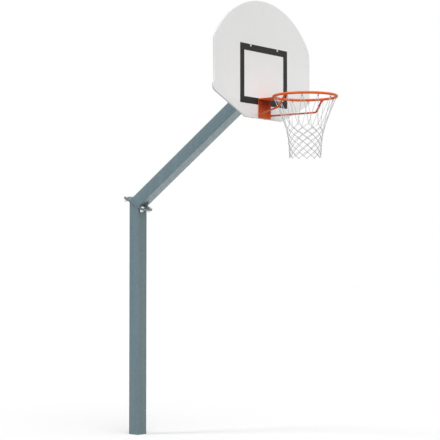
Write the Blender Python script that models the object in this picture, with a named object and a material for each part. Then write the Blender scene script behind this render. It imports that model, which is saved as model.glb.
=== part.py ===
"""In-ground basketball hoop: square post, mitred boom, half-moon board, braced ring and cord net.

Metres, +Z up. The origin is on the post's axis at the ground line. Play is on the -Y side, and +X is
to the right of a player who faces the board.
"""

import math

import bmesh
import bpy
from mathutils import Matrix, Vector

# Clearance between pieces that touch
GAP = 0.0003

# Edge round of cut steel plate
PLATE_EDGE_ROUND = 0.001

# Overall layout
RING_HEIGHT = 2.637  # ground to the centre of the ring's bar
BOARD_REACH = 1.304  # post axis to the board's face
BURIED_DEPTH = 0.500
BOOM_ANGLE = math.radians(35.0)  # above the horizontal
BOOM_SEAT_RISE = 0.294  # board's bottom edge to the boom's axis, at the board bracket

# Square tubes of post and boom
TUBE_SIZE = 0.102
TUBE_WALL = 0.003
TUBE_CORNER = 0.005  # outer corner radius

# Anchor bars through the buried end
ANCHOR_DIAMETER = 0.016
ANCHOR_LENGTH = 0.300
ANCHOR_LOWER_DEPTH = 0.430
ANCHOR_SPACING = 0.060

# Bolted flange in the mitre
FLANGE_THICKNESS = 0.008
FLANGE_CORNER = 0.012
FLANGE_BOLT_SPREAD = 0.090  # across the tube
FLANGE_BOLT_OFF_TUBE = 0.0416  # tube's face to the bolt's centre, along the mitre
FLANGE_SIDE_MARGIN = 0.017  # bolt's centre to the plate's side
FLANGE_END_MARGIN = 0.020  # bolt's centre to the plate's end
FLANGE_BOLT_DIAMETER = 0.016
GUSSET_THICKNESS = 0.008
GUSSET_FOOT = 0.046
GUSSET_RISE = 0.058
GUSSET_NIB = 0.008  # blunt end at each of its two outer corners

# Board
BOARD_WIDTH = 1.200
BOARD_HEIGHT = 0.904
BOARD_THICKNESS = 0.012
BOARD_TOP_RADIUS = 0.707
BOARD_SIDE_FOOT = 0.168  # where the sloped lower edge meets the side's line, above the bottom
BOARD_BOTTOM_FLAT = 0.460
BOARD_LOBE_RADIUS = 0.048
BOARD_LOBE_SWELL = 0.012  # how far the lower corners stand out past the straight sides
BOARD_FLAT_BLEND = 0.060  # radius scale where slope and flat meet
BOARD_EDGE_ROUND = 0.002
RING_ABOVE_BOARD_FOOT = 0.145  # board's bottom edge to the ring's bar centre

# Target marking
TARGET_WIDTH = 0.590
TARGET_HEIGHT = 0.450
TARGET_LINE = 0.050
TARGET_THICKNESS = 0.0006
TARGET_ABOVE_BOARD_FOOT = 0.105
TARGET_HOLE_MARGIN = 0.002  # from a hole's edge to the square of faces round it

# Ring and its plate
RING_INNER_DIAMETER = 0.450
RING_BAR_DIAMETER = 0.020
RING_FACE_GAP = 0.1587  # board's face to the ring's inner edge
PLATE_WIDTH = 0.150
PLATE_HEIGHT = 0.149
PLATE_THICKNESS = 0.006
PLATE_BEND_RADIUS = 0.010  # outer
PLATE_TOP_ABOVE_RING = 0.008  # ring's centre plane up to the top leg's upper face
PLATE_BOLT_SPREAD = 0.100
PLATE_BOLT_PITCH = 0.070
PLATE_BOLT_DROP = 0.022  # ring's centre plane down to the upper bolts
RING_BOLT_DIAMETER = 0.012

# Braces under the ring
BRACE_DIAMETER = 0.014
BRACE_RING_ANGLE = math.radians(92.0)  # from the ring's front point
BRACE_ELBOW_OUTSET = 0.005  # elbow outside the ring's bar line
BRACE_ELBOW_BACK = 0.061  # elbow behind the brace's top
BRACE_DROP = 0.094
BRACE_BEND_RADIUS = 0.022
BRACE_FOOT_SPREAD = 0.134
BRACE_FOOT_RISE = 0.0265  # plate's bottom edge to the brace's axis

# Net and its hooks
NET_LOOPS = 12
HOOK_ROD = 0.004
HOOK_BEND_RADIUS = 0.0065
HOOK_DROP = 0.004
HOOK_TIP = 0.004
NET_CORD = 0.004
NET_SEAT_GAP = 0.0009  # hook's rod to the loop that rests on it
NET_LOOP_DROP = 0.217  # ring's centre plane down to the first row of knots
NET_LENGTH = 0.454  # ring's centre plane down to the last row of knots
NET_MESH_ROWS = 9
NET_WAIST_INSET = 0.0785  # hooks' circle to the first row of knots
NET_MOUTH_INSET = 0.031  # first row of knots to the last
NET_TAPER_POWER = 2.25

# Board bracket and crossbar
BRACKET_WIDTH = 0.160
BRACKET_DEPTH = 0.045
BRACKET_WALL = 0.005
BRACKET_CORNER = 0.009
BRACKET_FOOT = 0.006  # above the board's bottom edge
CROSSBAR_LENGTH = 0.400
CROSSBAR_LEG = 0.040
CROSSBAR_WALL = 0.004
BOARD_BOLT_SPREAD = 0.334
BOARD_BOLT_BELOW_TARGET_TOP = 0.011
BOARD_BOLT_DIAMETER = 0.010

# Fastener proportions, as shares of the bolt's diameter
HEAD_ACROSS_FLATS = 1.5
HEAD_HEIGHT = 0.625
DOME_RADIUS = 0.95
DOME_HEIGHT = 0.55
DOME_TURNS = (0.25, 0.65, 1.1)  # radians from the crown, one section each
NUT_HEIGHT = 0.8
WASHER_DIAMETER = 1.9
WASHER_THICKNESS = 0.18
BOLT_STICK_OUT = 0.35
TIP_CHAMFER = 0.1

# Chamfer of heads and nuts, as shares of their own size
CHAMFER_DEPTH = 0.12  # of the height
CHAMFER_CIRCLE = 0.46  # radius, of the width across flats

HOLE_CLEARANCE = 0.0005  # on the radius

# Roundness
HEX_POINTS = 12
RING_STEPS = 72
PLATE_END_STEPS = 8
ROD_SIDES = 10
HOLE_SIDES = 16

# Derived heights and depths, used by more than one piece
BOARD_FOOT_Z = RING_HEIGHT - RING_ABOVE_BOARD_FOOT
BOARD_FACE_Y = -BOARD_REACH
BOARD_BACK_Y = BOARD_FACE_Y + BOARD_THICKNESS
BRACKET_FRONT_Y = BOARD_BACK_Y + GAP
BRACKET_WEB_BACK_Y = BRACKET_FRONT_Y + BRACKET_WALL
BOOM_END_Y = BRACKET_WEB_BACK_Y + GAP
JOINT_Z = BOARD_FOOT_Z + BOOM_SEAT_RISE + BOOM_END_Y * math.tan(BOOM_ANGLE)
MARKING_FRONT_Y = BOARD_FACE_Y - GAP - TARGET_THICKNESS
PLATE_BACK_Y = MARKING_FRONT_Y - GAP
PLATE_FRONT_Y = PLATE_BACK_Y - PLATE_THICKNESS
RING_RADIUS = (RING_INNER_DIAMETER + RING_BAR_DIAMETER) / 2
RING_BAR_RADIUS = RING_BAR_DIAMETER / 2
RING_CENTRE_Y = BOARD_FACE_Y - RING_FACE_GAP - RING_INNER_DIAMETER / 2
NET_SEAT_RADIUS = RING_RADIUS - HOOK_BEND_RADIUS
NET_WAIST_RADIUS = NET_SEAT_RADIUS - NET_WAIST_INSET
PLATE_TOP_Z = RING_HEIGHT + PLATE_TOP_ABOVE_RING
PLATE_FOOT_Z = PLATE_TOP_Z - PLATE_HEIGHT
TARGET_FOOT_Z = BOARD_FOOT_Z + TARGET_ABOVE_BOARD_FOOT
BOARD_BOLT_Z = TARGET_FOOT_Z + TARGET_HEIGHT - BOARD_BOLT_BELOW_TARGET_TOP
CROSSBAR_FOOT_Z = BOARD_BOLT_Z - CROSSBAR_LEG / 2

# The mitre halves the angle between post and boom
MITRE_TILT = (math.pi / 2 - BOOM_ANGLE) / 2
FLANGE_BOLT_PITCH = TUBE_SIZE / math.cos(MITRE_TILT) + 2 * FLANGE_BOLT_OFF_TUBE
FLANGE_WIDTH = FLANGE_BOLT_SPREAD + 2 * FLANGE_SIDE_MARGIN
FLANGE_LENGTH = FLANGE_BOLT_PITCH + 2 * FLANGE_END_MARGIN
MITRE_NORMAL = Vector((0, -math.sin(MITRE_TILT), math.cos(MITRE_TILT)))
MITRE_ALONG = Vector((0, -math.cos(MITRE_TILT), -math.sin(MITRE_TILT)))
JOINT = Vector((0, 0, JOINT_Z))
BOOM_DIRECTION = Vector((0, -math.cos(BOOM_ANGLE), math.sin(BOOM_ANGLE)))
BOOM_UNDERSIDE = Vector((0, -math.sin(BOOM_ANGLE), -math.cos(BOOM_ANGLE)))


def clear_scene():
    for obj in list(bpy.data.objects):
        bpy.data.objects.remove(obj, do_unlink=True)


def material(name, colour, roughness, metallic=0.0):
    """A plain Principled material, made once for each name."""
    found = bpy.data.materials.get(name)
    if found:
        return found
    made = bpy.data.materials.new(name)
    made.use_nodes = True
    shader = made.node_tree.nodes["Principled BSDF"]
    shader.inputs["Base Color"].default_value = (*colour, 1.0)
    shader.inputs["Roughness"].default_value = roughness
    shader.inputs["Metallic"].default_value = metallic
    made.diffuse_color = (*colour, 1.0)
    return made


def galvanised(name):
    return material(name, (0.20, 0.26, 0.28), 0.55, 0.6)


def bright_zinc(name):
    return material(name, (0.72, 0.73, 0.74), 0.3, 0.9)


def ring_orange(name):
    return material(name, (0.72, 0.16, 0.05), 0.4)


def object_from(name, mesh_builder, finish, smooth_angle=None):
    """Turns a bmesh into a named object with its own material."""
    bmesh.ops.recalc_face_normals(mesh_builder, faces=mesh_builder.faces)
    mesh = bpy.data.meshes.new(name)
    mesh_builder.to_mesh(mesh)
    mesh_builder.free()
    obj = bpy.data.objects.new(name, mesh)
    bpy.context.scene.collection.objects.link(obj)
    mesh.materials.append(finish)
    if smooth_angle:
        mesh.shade_smooth()
        mesh.set_sharp_from_angle(angle=smooth_angle)
    return obj


def skin_loops(builder, loops, closed=False):
    """Quads between each loop of vertices and the next, with caps unless the loops close on themselves."""
    pairs = list(zip(loops, loops[1:]))
    if closed:
        pairs.append((loops[-1], loops[0]))
    for low, high in pairs:
        count = len(low)
        for i in range(count):
            j = (i + 1) % count
            builder.faces.new((low[i], low[j], high[j], high[i]))
    if not closed:
        builder.faces.new(loops[0][::-1])
        builder.faces.new(loops[-1])


def lofted(loops, closed=False):
    builder = bmesh.new()
    rows = [[builder.verts.new(point) for point in loop] for loop in loops]
    skin_loops(builder, rows, closed)
    return builder


def arc(centre, radius, start, end, steps):
    """Points of a flat arc, ends included. Angles in radians."""
    turns = [start + (end - start) * i / steps for i in range(steps + 1)]
    return [(centre[0] + radius * math.cos(a), centre[1] + radius * math.sin(a)) for a in turns]


def rounded_rectangle(width, height, radius, steps=3):
    points = []
    for quarter, (sx, sy) in enumerate(((1, 1), (-1, 1), (-1, -1), (1, -1))):
        centre = (sx * (width / 2 - radius), sy * (height / 2 - radius))
        start = quarter * math.pi / 2
        points += arc(centre, radius, start, start + math.pi / 2, steps)
    return points


def circle(radius, count, phase=0.0):
    turns = [phase + 2 * math.pi * i / count for i in range(count)]
    return [(radius * math.cos(a), radius * math.sin(a)) for a in turns]


def round_edges(obj, width):
    bevel = obj.modifiers.new("edge_round", "BEVEL")
    bevel.width = width
    bevel.segments = 2
    bevel.limit_method = "ANGLE"
    bevel.angle_limit = math.radians(50)


def extruded(name, outline, frame, start, end, finish, round_edge=0.0, smooth_angle=None):
    """A flat outline pushed along the frame's Z, from start to end."""
    loops = [[frame @ Vector((x, y, z)) for x, y in outline] for z in (start, end)]
    obj = object_from(name, lofted(loops), finish, smooth_angle)
    if round_edge:
        round_edges(obj, round_edge)
    return obj


def cut(obj, cutter, label):
    cutter.hide_render = True
    cutter.display_type = "WIRE"
    boolean = obj.modifiers.new(label, "BOOLEAN")
    boolean.operation = "DIFFERENCE"
    boolean.solver = "EXACT"
    boolean.object = cutter


def frame_at(origin, z_axis, x_axis):
    """A placement whose Z and X run along the given directions."""
    z_axis = z_axis.normalized()
    x_axis = (x_axis - z_axis * x_axis.dot(z_axis)).normalized()
    y_axis = z_axis.cross(x_axis)
    turn = Matrix((x_axis, y_axis, z_axis)).transposed().to_4x4()
    return Matrix.Translation(origin) @ turn


def round_cutter(name, origin, direction, radius, length):
    frame = frame_at(origin, direction, Vector((direction.y, direction.z, direction.x)))
    outline = circle(radius, HOLE_SIDES, math.pi / HOLE_SIDES)
    loops = [[frame @ Vector((x, y, z)) for x, y in outline] for z in (-length / 2, length / 2)]
    return object_from(name, lofted(loops), material("cutter", (1, 0, 1), 1.0))


def drill(obj, index, place, direction, bolt_diameter):
    """A clearance hole for a bolt, right through the object and well past both faces."""
    label = f"{obj.name}_hole_{index}"
    depth = 6 * bolt_diameter
    cut(obj, round_cutter(label, place, direction, bolt_diameter / 2 + HOLE_CLEARANCE, depth), label)


def on_plane(point, direction, plane_point, plane_normal):
    """Where the line through point along direction meets the plane."""
    reach = (plane_point - point).dot(plane_normal) / direction.dot(plane_normal)
    return point + direction * reach


def square_tube(name, frame, start_plane, end_plane, finish):
    """A hollow square tube along the frame's Z, cut by a plane at each end."""
    direction = frame.to_3x3() @ Vector((0, 0, 1))
    outer = rounded_rectangle(TUBE_SIZE, TUBE_SIZE, TUBE_CORNER)
    bore = TUBE_SIZE - 2 * TUBE_WALL
    inner = rounded_rectangle(bore, bore, TUBE_CORNER - TUBE_WALL)
    loops = []
    for outline, planes in ((outer, (start_plane, end_plane)), (inner, (end_plane, start_plane))):
        for plane in planes:
            loops.append([on_plane(frame @ Vector((x, y, 0)), direction, *plane) for x, y in outline])
    return object_from(name, lofted(loops, closed=True), finish, math.radians(40))


def swept_rod(name, points, radius, sides, finish, end_normals=(None, None)):
    """A round rod along a path, with each section mitred to its neighbours.

    An end normal, where given, is the plane that the rod's end is cut to.
    """
    points = [Vector(p) for p in points]
    runs = [(b - a).normalized() for a, b in zip(points, points[1:])]
    side = runs[0].orthogonal().normalized()
    loops = []
    for i, point in enumerate(points):
        run = runs[min(i, len(runs) - 1)]
        before = runs[max(i - 1, 0)]
        normal = (run + before).normalized()
        if i == 0 and end_normals[0]:
            normal = end_normals[0]
        if i == len(points) - 1 and end_normals[1]:
            normal = end_normals[1]
        along = before if i else run
        side = (side - along * side.dot(along)).normalized()
        other = along.cross(side)
        ring = [point + side * x + other * y for x, y in circle(radius, sides)]
        loops.append([on_plane(p, along, point, normal) for p in ring])
    return object_from(name, lofted(loops), finish, math.radians(50))


def bent_path(corners, radius, steps=4):
    """The corner points with each inner corner rounded to the radius."""
    corners = [Vector(c) for c in corners]
    path = [corners[0]]
    for before, corner, after in zip(corners, corners[1:], corners[2:]):
        back = (before - corner).normalized()
        ahead = (after - corner).normalized()
        half = back.angle(ahead) / 2
        trim = radius / math.tan(half)
        centre = corner + (back + ahead).normalized() * radius / math.sin(half)
        first = (corner + back * trim - centre).normalized()
        last = (corner + ahead * trim - centre).normalized()
        for i in range(steps + 1):
            path.append(centre + first.slerp(last, i / steps) * radius)
    path.append(corners[-1])
    return path


def hexagon(across_flats):
    """A hexagon of twelve points, corners and mid-sides, to join with a round of twelve."""
    points = []
    for i in range(HEX_POINTS):
        radius = across_flats / 2 if i % 2 else across_flats / 2 / math.cos(math.pi / 6)
        turn = 2 * math.pi * i / HEX_POINTS
        points.append((radius * math.cos(turn), radius * math.sin(turn)))
    return points


def turned_stack(name, frame, sections, finish, closed=False):
    """Sections of twelve points at given heights, skinned. Each is (points, height)."""
    loops = [[frame @ Vector((x, y, z)) for x, y in points] for points, z in sections]
    return object_from(name, lofted(loops, closed), finish, math.radians(35))


def shank_sections(diameter, grip):
    """The bolt's shank from under its head to the chamfered tip."""
    tip = grip + BOLT_STICK_OUT * diameter
    chamfer = TIP_CHAMFER * diameter
    shank = circle(diameter / 2, HEX_POINTS)
    return [
        (shank, GAP),
        (shank, chamfer - tip),
        (circle(diameter / 2 - chamfer, HEX_POINTS), -tip),
    ]


def hex_bolt(name, frame, diameter, grip, finish):
    """A hexagon bolt whose head stands on the frame's plane and whose shank runs along -Z."""
    flats = HEAD_ACROSS_FLATS * diameter
    head = HEAD_HEIGHT * diameter
    sections = [
        (circle(CHAMFER_CIRCLE * flats, HEX_POINTS), GAP + head),
        (hexagon(flats), GAP + head * (1 - CHAMFER_DEPTH)),
        (hexagon(flats), GAP),
    ]
    return turned_stack(name, frame, sections + shank_sections(diameter, grip), finish)


def dome_bolt(name, frame, diameter, grip, finish):
    """A mushroom-head bolt whose head stands on the frame's plane and whose shank runs along -Z."""
    radius = DOME_RADIUS * diameter
    head = DOME_HEIGHT * diameter
    sections = []
    for turn in DOME_TURNS:
        sections.append((circle(radius * math.sin(turn), HEX_POINTS), GAP + head * math.cos(turn)))
    sections.append((circle(radius, HEX_POINTS), GAP))
    return turned_stack(name, frame, sections + shank_sections(diameter, grip), finish)


def hex_nut(name, frame, diameter, finish):
    """A nut whose seat is the frame's plane and which stands along -Z, with its bore clear of the shank."""
    flats = HEAD_ACROSS_FLATS * diameter
    height = NUT_HEIGHT * diameter
    chamfer = CHAMFER_DEPTH * height
    bore = circle(diameter / 2 + GAP, HEX_POINTS)
    rim = circle(CHAMFER_CIRCLE * flats, HEX_POINTS)
    sections = [
        (bore, -GAP),
        (rim, -GAP),
        (hexagon(flats), -GAP - chamfer),
        (hexagon(flats), -height + chamfer),
        (rim, -height),
        (bore, -height),
    ]
    return turned_stack(name, frame, sections, finish, closed=True)


def washer(name, frame, diameter, finish):
    """A washer whose top is on the frame's plane and which stands along -Z."""
    inner = circle(diameter / 2 + HOLE_CLEARANCE, HEX_POINTS)
    outer = circle(WASHER_DIAMETER * diameter / 2, HEX_POINTS)
    thickness = WASHER_THICKNESS * diameter
    sections = [(inner, -GAP), (outer, -GAP), (outer, -GAP - thickness), (inner, -GAP - thickness)]
    return turned_stack(name, frame, sections, finish, closed=True)


def moved_along(frame, distance):
    return frame @ Matrix.Translation((0, 0, distance))


def fastener_set(names, frame, diameter, stack, make_bolt, bolt_finish=bright_zinc):
    """Bolt, washer and nut through a stack of the given thickness, head on the frame's plane."""
    bolt_name, washer_name, nut_name = names
    washer_thickness = WASHER_THICKNESS * diameter
    nut_seat = stack + GAP + washer_thickness
    grip = nut_seat + NUT_HEIGHT * diameter
    make_bolt(bolt_name, frame, diameter, grip, bolt_finish("finish_" + bolt_name))
    washer(washer_name, moved_along(frame, -stack), diameter, bright_zinc("zinc_" + washer_name))
    hex_nut(nut_name, moved_along(frame, -nut_seat), diameter, bright_zinc("zinc_" + nut_name))


def make_post():
    mitre = (JOINT - MITRE_NORMAL * (GAP * 1.5 + FLANGE_THICKNESS), MITRE_NORMAL)
    foot = (Vector((0, 0, -BURIED_DEPTH)), Vector((0, 0, 1)))
    upright = frame_at(Vector((0, 0, 0)), Vector((0, 0, 1)), Vector((1, 0, 0)))
    post = square_tube("post_tube", upright, foot, mitre, galvanised("galvanised_post"))
    lower = Vector((0, 0, -ANCHOR_LOWER_DEPTH))
    upper = lower + Vector((0, 0, ANCHOR_SPACING))
    bars = (
        ("anchor_bar_lower", lower, Vector((1, 0, 0))),
        ("anchor_bar_upper", upper, Vector((0, 1, 0))),
    )
    for name, place, direction in bars:
        radius = ANCHOR_DIAMETER / 2
        ends = (place - direction * ANCHOR_LENGTH / 2, place + direction * ANCHOR_LENGTH / 2)
        swept_rod(name, ends, radius, HEX_POINTS, galvanised("galvanised_" + name))
        cutter = round_cutter(name + "_hole", place, direction, radius + GAP, 2 * TUBE_SIZE)
        cut(post, cutter, name + "_hole")


def flange_bolt_places():
    """Centres of the four bolts on the mitre plane, named by side."""
    for index, (side, end) in enumerate(((-1, 1), (1, 1), (-1, -1), (1, -1)), start=1):
        across = Vector((side * FLANGE_BOLT_SPREAD / 2, 0, 0))
        along = MITRE_ALONG * (end * FLANGE_BOLT_PITCH / 2)
        yield index, JOINT + across + along


def make_flanges():
    flat = frame_at(JOINT, MITRE_NORMAL, Vector((1, 0, 0)))
    outline = rounded_rectangle(FLANGE_WIDTH, FLANGE_LENGTH, FLANGE_CORNER)
    plates = (("post_flange", -GAP / 2 - FLANGE_THICKNESS), ("boom_flange", GAP / 2))
    for name, start in plates:
        finish = galvanised("galvanised_" + name)
        plate = extruded(name, outline, flat, start, start + FLANGE_THICKNESS, finish, PLATE_EDGE_ROUND)
        for index, place in flange_bolt_places():
            drill(plate, index, place, MITRE_NORMAL, FLANGE_BOLT_DIAMETER)
    stack = 2 * FLANGE_THICKNESS + GAP
    for index, place in flange_bolt_places():
        seat = frame_at(place + MITRE_NORMAL * stack / 2, MITRE_NORMAL, Vector((1, 0, 0)))
        names = (f"flange_bolt_{index}", f"flange_washer_{index}", f"flange_nut_{index}")
        fastener_set(names, seat, FLANGE_BOLT_DIAMETER, stack, hex_bolt)


def make_boom():
    mitre = (JOINT + MITRE_NORMAL * (GAP * 1.5 + FLANGE_THICKNESS), MITRE_NORMAL)
    end = (Vector((0, BOOM_END_Y, 0)), Vector((0, 1, 0)))
    along = frame_at(JOINT, BOOM_DIRECTION, Vector((1, 0, 0)))
    square_tube("boom_tube", along, mitre, end, galvanised("galvanised_boom"))


def make_gusset():
    """A triangular rib on the front ear, under the boom, in the middle of the tube."""
    plate_top = GAP * 1.5 + FLANGE_THICKNESS
    underside = JOINT + BOOM_UNDERSIDE * (TUBE_SIZE / 2 + GAP)
    corner = on_plane(underside, BOOM_DIRECTION, JOINT + MITRE_NORMAL * plate_top, MITRE_NORMAL)
    toe = corner + MITRE_ALONG * GUSSET_FOOT
    peak = corner + BOOM_DIRECTION * GUSSET_RISE
    blunt_toe = toe + MITRE_NORMAL * GUSSET_NIB
    blunt_peak = peak + MITRE_ALONG * GUSSET_NIB
    corners = (corner, toe, blunt_toe, blunt_peak, peak)
    half = Vector((GUSSET_THICKNESS / 2, 0, 0))
    loops = [[c - half for c in corners], [c + half for c in corners]]
    object_from("joint_gusset", lofted(loops), galvanised("galvanised_gusset"))


def ring_bolt_places():
    """Centres of the four ring bolts on the plate's front face, numbered from the upper left."""
    upper = RING_HEIGHT - PLATE_BOLT_DROP
    lower = upper - PLATE_BOLT_PITCH
    half = PLATE_BOLT_SPREAD / 2
    for index, (x, z) in enumerate(((-half, upper), (half, upper), (-half, lower), (half, lower)), start=1):
        yield index, Vector((x, PLATE_FRONT_Y, z))


def board_bolt_places():
    """Centres of the two upper board bolts on the marking's front face."""
    for side, x in (("left", -BOARD_BOLT_SPREAD / 2), ("right", BOARD_BOLT_SPREAD / 2)):
        yield side, Vector((x, MARKING_FRONT_Y, BOARD_BOLT_Z))


def drill_for_ring_bolts(obj):
    for index, place in ring_bolt_places():
        drill(obj, index, place, Vector((0, 1, 0)), RING_BOLT_DIAMETER)


def drill_for_board_bolts(obj):
    for side, place in board_bolt_places():
        drill(obj, side, place, Vector((0, 1, 0)), BOARD_BOLT_DIAMETER)


def board_outline():
    """The half-moon outline in the board's plane, x to the right and y above the bottom edge."""
    half = BOARD_WIDTH / 2
    top_centre = (0.0, BOARD_HEIGHT - BOARD_TOP_RADIUS)
    shoulder = math.acos(half / BOARD_TOP_RADIUS)
    flat = BOARD_BOTTOM_FLAT / 2
    slope = math.atan2(BOARD_SIDE_FOOT, half - flat)
    right = []
    blend = BOARD_FLAT_BLEND
    flat_trim = blend * math.tan(slope / 2)
    right += arc((flat - flat_trim, blend), blend, -math.pi / 2, -math.pi / 2 + slope, 3)
    lobe = BOARD_LOBE_RADIUS
    lobe_x = half + BOARD_LOBE_SWELL - lobe
    inward = Vector((-math.sin(slope), math.cos(slope)))
    start = Vector((flat, 0.0)) + inward * lobe
    lobe_y = start.y + (lobe_x - start.x) * math.tan(slope)
    leave = math.acos((half - lobe_x) / lobe)
    right += arc((lobe_x, lobe_y), lobe, -math.pi / 2 + slope, leave, 7)
    right += [(half, lobe_y + lobe * math.sin(leave) + BOARD_LOBE_SWELL)]
    right += arc(top_centre, BOARD_TOP_RADIUS, shoulder, math.pi / 2, 16)
    left = [(-x, y) for x, y in reversed(right[:-1])]
    return right + left


def make_board():
    facing = frame_at(Vector((0, BOARD_FACE_Y, BOARD_FOOT_Z)), Vector((0, -1, 0)), Vector((1, 0, 0)))
    white = material("board_white", (0.80, 0.80, 0.80), 0.35)
    board = extruded("backboard", board_outline(), facing, -BOARD_THICKNESS, 0.0, white, BOARD_EDGE_ROUND)
    drill_for_ring_bolts(board)
    drill_for_board_bolts(board)


def spaced_lines(values):
    """The values in order, without any that is less than a hole margin from the one before."""
    lines = []
    for value in sorted(values):
        if not lines or value - lines[-1] > TARGET_HOLE_MARGIN / 2:
            lines.append(value)
    return lines


def make_target():
    """The black rectangle as one thin band, with holes for the two board bolts and the upper ring bolts.

    Its faces are divided on a grid that puts a square round each hole, so that every hole is cut in
    the same clean way wherever it lies on the band.
    """
    half = (TARGET_WIDTH / 2, TARGET_HEIGHT / 2)
    centre_z = TARGET_FOOT_Z + TARGET_HEIGHT / 2
    grid = [[], []]
    for axis in (0, 1):
        grid[axis] += [-half[axis], TARGET_LINE - half[axis], half[axis] - TARGET_LINE, half[axis]]
    holes = [(place, BOARD_BOLT_DIAMETER) for _, place in board_bolt_places()]
    holes += [(place, RING_BOLT_DIAMETER) for _, place in ring_bolt_places()]
    for place, diameter in holes:
        side = diameter / 2 + HOLE_CLEARANCE + TARGET_HOLE_MARGIN
        for axis, middle in enumerate((place.x, place.z - centre_z)):
            grid[axis] += [at for at in (middle - side, middle + side) if abs(at) < half[axis]]
    across, up = spaced_lines(grid[0]), spaced_lines(grid[1])
    builder = bmesh.new()
    points = {}

    def corner(i, j):
        if (i, j) not in points:
            points[i, j] = builder.verts.new((across[i], BOARD_FACE_Y - GAP, centre_z + up[j]))
        return points[i, j]

    for i in range(len(across) - 1):
        for j in range(len(up) - 1):
            inside = abs(across[i] + across[i + 1]) / 2 < half[0] - TARGET_LINE
            inside = inside and abs(up[j] + up[j + 1]) / 2 < half[1] - TARGET_LINE
            if not inside:
                builder.faces.new((corner(i, j), corner(i + 1, j), corner(i + 1, j + 1), corner(i, j + 1)))
    raised = bmesh.ops.extrude_face_region(builder, geom=builder.faces[:])
    front = [v for v in raised["geom"] if isinstance(v, bmesh.types.BMVert)]
    bmesh.ops.translate(builder, verts=front, vec=(0, -TARGET_THICKNESS, 0))
    black = material("target_black", (0.02, 0.02, 0.02), 0.4)
    band = object_from("target_marking", builder, black)
    drill_for_ring_bolts(band)
    drill_for_board_bolts(band)


def ring_plate_profile(reach):
    """The plate's L outline: how far it stands out from its own back, and the height."""
    bend = PLATE_BEND_RADIUS
    height = PLATE_TOP_Z - PLATE_FOOT_Z
    outline = [(0.0, 0.0), (PLATE_THICKNESS, 0.0)]
    outline += arc((bend, height - bend), bend - PLATE_THICKNESS, math.pi, math.pi / 2, 4)
    outline += [(reach, height - PLATE_THICKNESS), (reach, height)]
    outline += arc((bend, height - bend), bend, math.pi / 2, math.pi, 4)
    return outline


def make_ring_plate():
    """A plate folded to an L: one leg lies on the board, and the top leg's end is cut to the ring."""
    edge_radius = RING_RADIUS + RING_BAR_RADIUS + GAP
    loops = []
    for step in range(PLATE_END_STEPS + 1):
        x = PLATE_WIDTH * (step / PLATE_END_STEPS - 0.5)
        edge_y = RING_CENTRE_Y + math.sqrt(edge_radius ** 2 - x ** 2)
        profile = ring_plate_profile(PLATE_BACK_Y - edge_y)
        loops.append([Vector((x, PLATE_BACK_Y - out, PLATE_FOOT_Z + up)) for out, up in profile])
    plate = object_from("ring_plate", lofted(loops), ring_orange("orange_plate"))
    round_edges(plate, PLATE_EDGE_ROUND)
    drill_for_ring_bolts(plate)
    stack = BRACKET_WEB_BACK_Y - PLATE_FRONT_Y
    for index, place in ring_bolt_places():
        seat = frame_at(place, Vector((0, -1, 0)), Vector((1, 0, 0)))
        names = (f"ring_bolt_{index}", f"ring_washer_{index}", f"ring_nut_{index}")
        fastener_set(names, seat, RING_BOLT_DIAMETER, stack, hex_bolt, ring_orange)


def ring_torus(name, bar_radius, finish):
    """The ring's round bar, bent to a full circle."""
    loops = []
    for i in range(RING_STEPS):
        turn = 2 * math.pi * i / RING_STEPS
        outward = Vector((math.sin(turn), -math.cos(turn), 0))
        centre = Vector((0, RING_CENTRE_Y, RING_HEIGHT)) + outward * RING_RADIUS
        section = circle(bar_radius, HEX_POINTS, math.pi / HEX_POINTS)
        loops.append([centre + outward * x + Vector((0, 0, y)) for x, y in section])
    return object_from(name, lofted(loops, closed=True), finish, math.radians(60))


def ring_point(angle, radius=RING_RADIUS, drop=0.0):
    """A point at an angle from the ring's front, at a radius from its centre and a depth below its plane."""
    return Vector((radius * math.sin(angle), RING_CENTRE_Y - radius * math.cos(angle), RING_HEIGHT - drop))


def make_ring():
    ring_torus("ring_bar", RING_BAR_RADIUS, ring_orange("orange_ring"))
    cope = ring_torus("brace_cope", RING_BAR_RADIUS + GAP, material("cutter", (1, 0, 1), 1.0))
    for side, name in ((-1, "ring_brace_left"), (1, "ring_brace_right")):
        top = ring_point(side * BRACE_RING_ANGLE)
        elbow = top + Vector((side * BRACE_ELBOW_OUTSET, BRACE_ELBOW_BACK, -BRACE_DROP))
        foot = Vector((side * BRACE_FOOT_SPREAD / 2, PLATE_FRONT_Y - GAP, PLATE_FOOT_Z + BRACE_FOOT_RISE))
        path = bent_path((top, elbow, foot), BRACE_BEND_RADIUS)
        finish = ring_orange("orange_" + name)
        up_and_back = (Vector((0, 0, 1)), Vector((0, 1, 0)))
        brace = swept_rod(name, path, BRACE_DIAMETER / 2, ROD_SIDES, finish, up_and_back)
        cut(brace, cope, "cope")


def loop_angles():
    for i in range(NET_LOOPS):
        yield i, 2 * math.pi * i / NET_LOOPS


def make_hooks():
    """Small rod hooks under the ring's bar, each open inwards, for the net's loops."""
    start_drop = RING_BAR_RADIUS + GAP
    bend_drop = start_drop + HOOK_DROP
    for i, angle in loop_angles():
        path = [ring_point(angle, RING_RADIUS, start_drop)]
        for x, y in arc((NET_SEAT_RADIUS, 0.0), HOOK_BEND_RADIUS, 0.0, -math.pi, 6):
            path.append(ring_point(angle, x, bend_drop - y))
        path.append(ring_point(angle, RING_RADIUS - 2 * HOOK_BEND_RADIUS, bend_drop - HOOK_TIP))
        name = f"net_hook_{i + 1:02d}"
        swept_rod(name, path, HOOK_ROD / 2, 8, ring_orange("orange_" + name))


def net_radius(drop):
    """The net's radius below its first row of knots, drawing in towards the mouth."""
    share = (drop - NET_LOOP_DROP) / (NET_LENGTH - NET_LOOP_DROP)
    return NET_WAIST_RADIUS - NET_MOUTH_INSET * (1 - (1 - share) ** NET_TAPER_POWER)


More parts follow.
